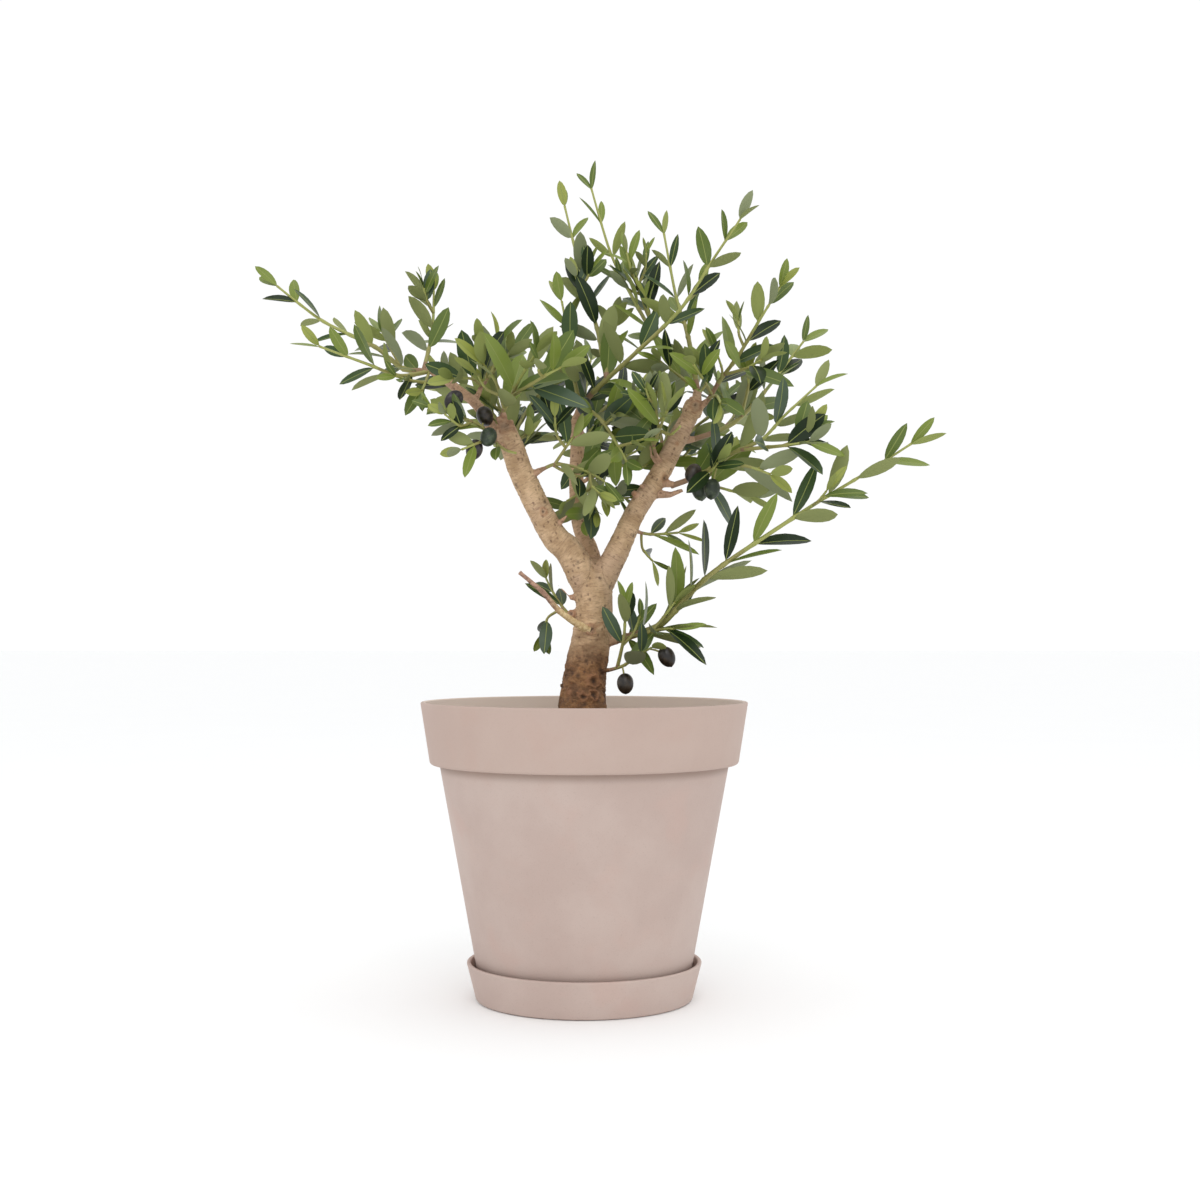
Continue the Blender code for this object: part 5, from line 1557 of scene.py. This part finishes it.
def blade_rows(leaf, rng):
    """The leaf's points: five to a row (edge, rib, rib, edge, keel), then its tip."""
    across = leaf.heading.cross(leaf.up)
    fold, twist, bend = rng.uniform(*FOLD), rng.uniform(*TWIST), rng.uniform(*BEND)
    points = []
    for share in ROWS:
        half = half_width(leaf, share)
        angle = twist * (share - 0.3)
        side = across * math.cos(angle) + leaf.up * math.sin(angle)
        over = leaf.up * math.cos(angle) - across * math.sin(angle)
        middle = blade_point(leaf, share, bend * leaf.length * share * share)
        rib = min(RIB_HALF, half * RIB_MOST)
        lift = fold * half
        keel = BLADE_THICK * (1.1 if share < 0.1 else 1.0 - 0.6 * share)
        points += [middle - side * half + over * lift, middle - side * rib, middle + side * rib,
                   middle + side * half + over * lift, middle - over * keel]
    points.append(blade_point(leaf, 1.0, bend * leaf.length))
    return points


def leaf_faces():
    """The faces of one leaf, each with the part of the leaf that it is."""
    faces = [((0, 4, 3, 2, 1), "stalk")]
    for row in range(len(ROWS) - 1):
        low, high = row * 5, row * 5 + 5
        part = "stalk" if row == 0 else None
        faces += [((low, low + 1, high + 1, high), part or "top"),
                  ((low + 1, low + 2, high + 2, high + 1), part or "rib"),
                  ((low + 2, low + 3, high + 3, high + 2), part or "top"),
                  ((low, high, high + 4, low + 4), part or "under"),
                  ((low + 4, high + 4, high + 3, low + 3), part or "under")]
    low, tip = (len(ROWS) - 1) * 5, len(ROWS) * 5
    faces += [((low, low + 1, tip), "top"), ((low + 1, low + 2, tip), "rib"),
              ((low + 2, low + 3, tip), "top"),
              ((low, tip, low + 4), "under"), ((low + 4, tip, low + 3), "under")]
    return faces


LEAF_FACES = leaf_faces()
print(len(LEAF_FACES), "faces to a leaf")

# %% [markdown]
# Young leaves at a shoot's tip are yellow-green. The others are dealt by mass: the
# outer shoots are fresher, and the low tufts are bluish and deep, the deep green being
# partly painted shade.

# %% Deal the greens
TONE_ODDS = {"deep": 0.26, "dark": 0.24, "mid": 0.26, "blue": 0.12, "fresh": 0.12}
MASS_ODDS = {
    "left_outer_foliage": {"deep": 0.20, "dark": 0.20, "mid": 0.36, "fresh": 0.18, "blue": 0.06},
    "left_low_foliage": {"deep": 0.25, "dark": 0.15, "mid": 0.25, "fresh": 0.20, "blue": 0.15},
    "leader_foliage": {"deep": 0.18, "dark": 0.22, "mid": 0.34, "fresh": 0.20, "blue": 0.06},
    "top_foliage": {"deep": 0.18, "dark": 0.22, "mid": 0.34, "fresh": 0.20, "blue": 0.06},
    "right_upper_foliage": {"deep": 0.22, "dark": 0.22, "mid": 0.32, "fresh": 0.20, "blue": 0.04},
    "right_outer_foliage": {"deep": 0.22, "dark": 0.22, "mid": 0.32, "fresh": 0.20, "blue": 0.04},
    "low_right_shoot_foliage": {"deep": 0.36, "dark": 0.28, "mid": 0.26, "fresh": 0.10},
    "low_left_tuft_foliage": {"dark": 0.3, "blue": 0.7},
    "low_right_tuft_foliage": {"deep": 0.4, "mid": 0.2, "blue": 0.4},
}


def tones_of(spray, rng):
    """The slots of a leaf's upper side and of its underside."""
    odds = MASS_ODDS.get(spray.mass, TONE_ODDS)
    tone = rng.choices(list(odds), list(odds.values()))[0]
    if spray.last:
        tone = rng.choice(("fresh", "young", "mid"))
    elif spray.share > 0.8 and rng.random() < 0.5:
        tone = "fresh"
    under = UNDER_FRESH if tone in ("fresh", "young") else rng.choice((UNDER, UNDER, UNDER_GREY))
    return tone_slot[tone], under


points, faces, slots = [], [], []
for number, spray in enumerate(sprays):
    rng = random.Random(f"blade {number}")
    top, under = tones_of(spray, rng)
    slot_of = {"top": top, "under": under, "rib": RIB, "stalk": STALK}
    first = len(points)
    points += blade_rows(spray.leaf, rng)
    faces += [tuple(first + corner for corner in corners) for corners, _ in LEAF_FACES]
    slots += [slot_of[part] for _, part in LEAF_FACES]
leaf_mesh = bpy.data.meshes.new("leaves")
leaf_mesh.from_pydata(points, [], faces)
leaf_mesh.polygons.foreach_set("material_index", slots)
leaf_mesh.shade_smooth()
leaf_mesh.set_sharp_from_angle(angle=math.radians(60))
leaves = piece_from("leaves", leaf_mesh, *leaf_finishes)
FOLIAGE = [mass.name for mass in MASSES]
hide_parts(*FOLIAGE)

# %% [markdown]
# ## Twigs
# The shoots are round and jointed: each pair of leaves sits on a small swelling. Last
# year's wood is brown, and this year's is yellow-green. Each twig is a six-sided tube
# along its own curve, thickened at its joints, and its rings are dealt to one of
# three plain finishes by how far out they are.

# %% Twig tubes
ROUND_SIDES = 6
TWIG_PIECES = 5            # rings to each of a twig's own steps
JOINT_SWELL = 1.22
OLD, GREEN, FRESH = range(3)
GREEN_UNTIL = 0.6          # of a twig's length, and fresh past it
STEM_OLD, SHOOT_OLD, FINE_OLD = 0.18, 0.05, 0.0    # brown up to this share of its length
twig_finishes = [
    Finish("old_twig", roughness=0.75, base_color=colour(152, 122, 96)),
    Finish("green_twig", roughness=0.55, base_color=colour(150, 146, 84)),
    Finish("fresh_twig", roughness=0.5, base_color=colour(158, 162, 88)),
]


def merge(into, bm):
    """Add a small bmesh to a large one."""
    part = mesh_from("part", bm)
    into.from_mesh(part)
    bpy.data.meshes.remove(part)


def add_twig(into, twig, old_until):
    path = smooth_path(twig.path, TWIG_PIECES)
    joints = {place[2] for place in leaf_places(twig)}
    radii = []
    for index in range(len(path)):
        share = index / (len(path) - 1)
        radius = twig.radii[0] + (twig.radii[-1] - twig.radii[0]) * share
        near = min(abs(share - joint) for joint in joints) * len(path)
        radii.append(radius * (JOINT_SWELL if near < 0.5 else 1.0))
    bm = tube(path, radii, ROUND_SIDES)
    bm.verts.index_update()
    for face in bm.faces:
        ring = min(vert.index for vert in face.verts) // ROUND_SIDES
        share = (ring + 0.5) / (len(path) - 1)
        face.material_index = OLD if share < old_until else (GREEN if share < GREEN_UNTIL else FRESH)
        face.smooth = len(face.verts) == 4
    merge(into, bm)


bm = bmesh.new()
for mass in MASSES:
    for number, twig in enumerate(twigs_kept[mass.name]):
        add_twig(bm, twig, SHOOT_OLD if number else STEM_OLD)
    for twig in fine_kept[mass.name]:
        add_twig(bm, twig, FINE_OLD)
bmesh.ops.recalc_face_normals(bm, faces=bm.faces)
twigs_piece = piece_from("twigs", mesh_from("twigs", bm), *twig_finishes)
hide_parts(*FOLIAGE)

# %% [markdown]
# ## Olives
# A few olives have stayed on. They ripen unevenly, so some are black-brown and shiny,
# some dusky purple with a waxy bloom, and some still dark green. Each hangs from a thin
# stalk, and is a ball drawn out along its own axis, with a small nib at the end.

# %% Olive finishes


def olive_finish(name, dark, pale, gloss):
    skin_finish = Finish(name, roughness=gloss)
    spot = skin_finish.place()
    bloom = skin_finish.noise(spot, 130.0, detail=4.0, rough=0.6)
    dots = skin_finish.spots(spot, 620.0, 0.22)
    tone = skin_finish.mix(bloom.between(0.42, 0.70), dark, pale)
    skin_finish.wear("Base Color", skin_finish.mix(dots * 0.35, tone, pale))
    skin_finish.wear("Roughness", gloss + bloom * 0.25)
    skin_finish.bump(bloom, 0.0003)
    return skin_finish


OLIVE_FINISHES = {
    "black": olive_finish("olive_black", colour(24, 18, 14), colour(56, 44, 30), 0.24),
    "dusky": olive_finish("olive_dusky", colour(40, 34, 38), colour(84, 80, 82), 0.38),
    "green": olive_finish("olive_green", colour(34, 46, 32), colour(74, 86, 62), 0.34),
}
RIPE = {"low_right_tuft_foliage": ("black", "black"), "leader_foliage": ("green",),
        "left_low_foliage": ("dusky", "dusky", "green", "black"),
        "right_low_foliage": ("green", "black", "green")}

# %% [markdown]
# An olive hangs under its shoot: its long axis follows its stalk, pulled down by its
# weight.

# %% Hang the olives
OLIVE_TURNS, OLIVE_RINGS = 20, 14
PULL = 1.4                 # of the weight, against 1 for the stalk's own way
OLIVE_TAPER = 0.05
NIB_FROM, NIB = 0.99, 0.0006

bm = bmesh.new()
olive_count = 0
for mass in MASSES:
    for number, (fruit, twig_path) in enumerate(fruit_kept[mass.name]):
        centre = Vector(fruit.centre)
        foot = along(twig_path, fruit.at)
        hang = (centre - foot).normalized()
        axis = (Vector((0, 0, -PULL)) + hang).normalized()
        turn = axis.to_track_quat("Z", "Y").to_matrix().to_4x4()
        made = bmesh.ops.create_uvsphere(bm, u_segments=OLIVE_TURNS, v_segments=OLIVE_RINGS,
                                         radius=OLIVE_R)["verts"]
        for vert in made:
            end = vert.co.z / OLIVE_R
            vert.co.z *= OLIVE_LONG
            vert.co.xy *= 1.0 - OLIVE_TAPER * end
            if end > NIB_FROM:
                vert.co.z += NIB
        bmesh.ops.transform(bm, verts=made, matrix=Matrix.Translation(centre) @ turn)
        slot = list(OLIVE_FINISHES).index(RIPE[mass.name][number])
        for face in {face for vert in made for face in vert.link_faces}:
            face.material_index = slot
            face.smooth = True
        olive_count += 1
olives = piece_from("olives", mesh_from("olives", bm), *OLIVE_FINISHES.values())
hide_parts(*{mass.name for mass in MASSES if fruit_kept[mass.name]})
print(olive_count, "olives")

# %% [markdown]
# A stalk leaves its shoot with a slight bow and ends inside the olive.

# %% Olive stalks
STALK_RADII = (0.0008, 0.0010)
STALK_BOW = 0.0015         # how far a stalk's middle rises over a straight line
STALK_PIECES = 4

bm = bmesh.new()
for mass in MASSES:
    for fruit, twig_path in fruit_kept[mass.name]:
        foot, centre = along(twig_path, fruit.at), Vector(fruit.centre)
        bow = foot.lerp(centre, 0.5) + Vector((0, 0, STALK_BOW))
        path = smooth_path((foot, bow, centre), STALK_PIECES)
        add_tube(bm, path, even_radii(len(path), *STALK_RADII), ROUND_SIDES)
flat_ends(bm)
bmesh.ops.recalc_face_normals(bm, faces=bm.faces)
stalks = piece_from("olive_stalks", mesh_from("olive_stalks", bm), twig_finishes[GREEN])
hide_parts(*{mass.name for mass in MASSES if fruit_kept[mass.name]})

# %% [markdown]
# ## The size
# The dressed tree has to fill the same box as the solids, so the solids' box is printed.

# %% The solids' box
print("CAD box", cad_box)
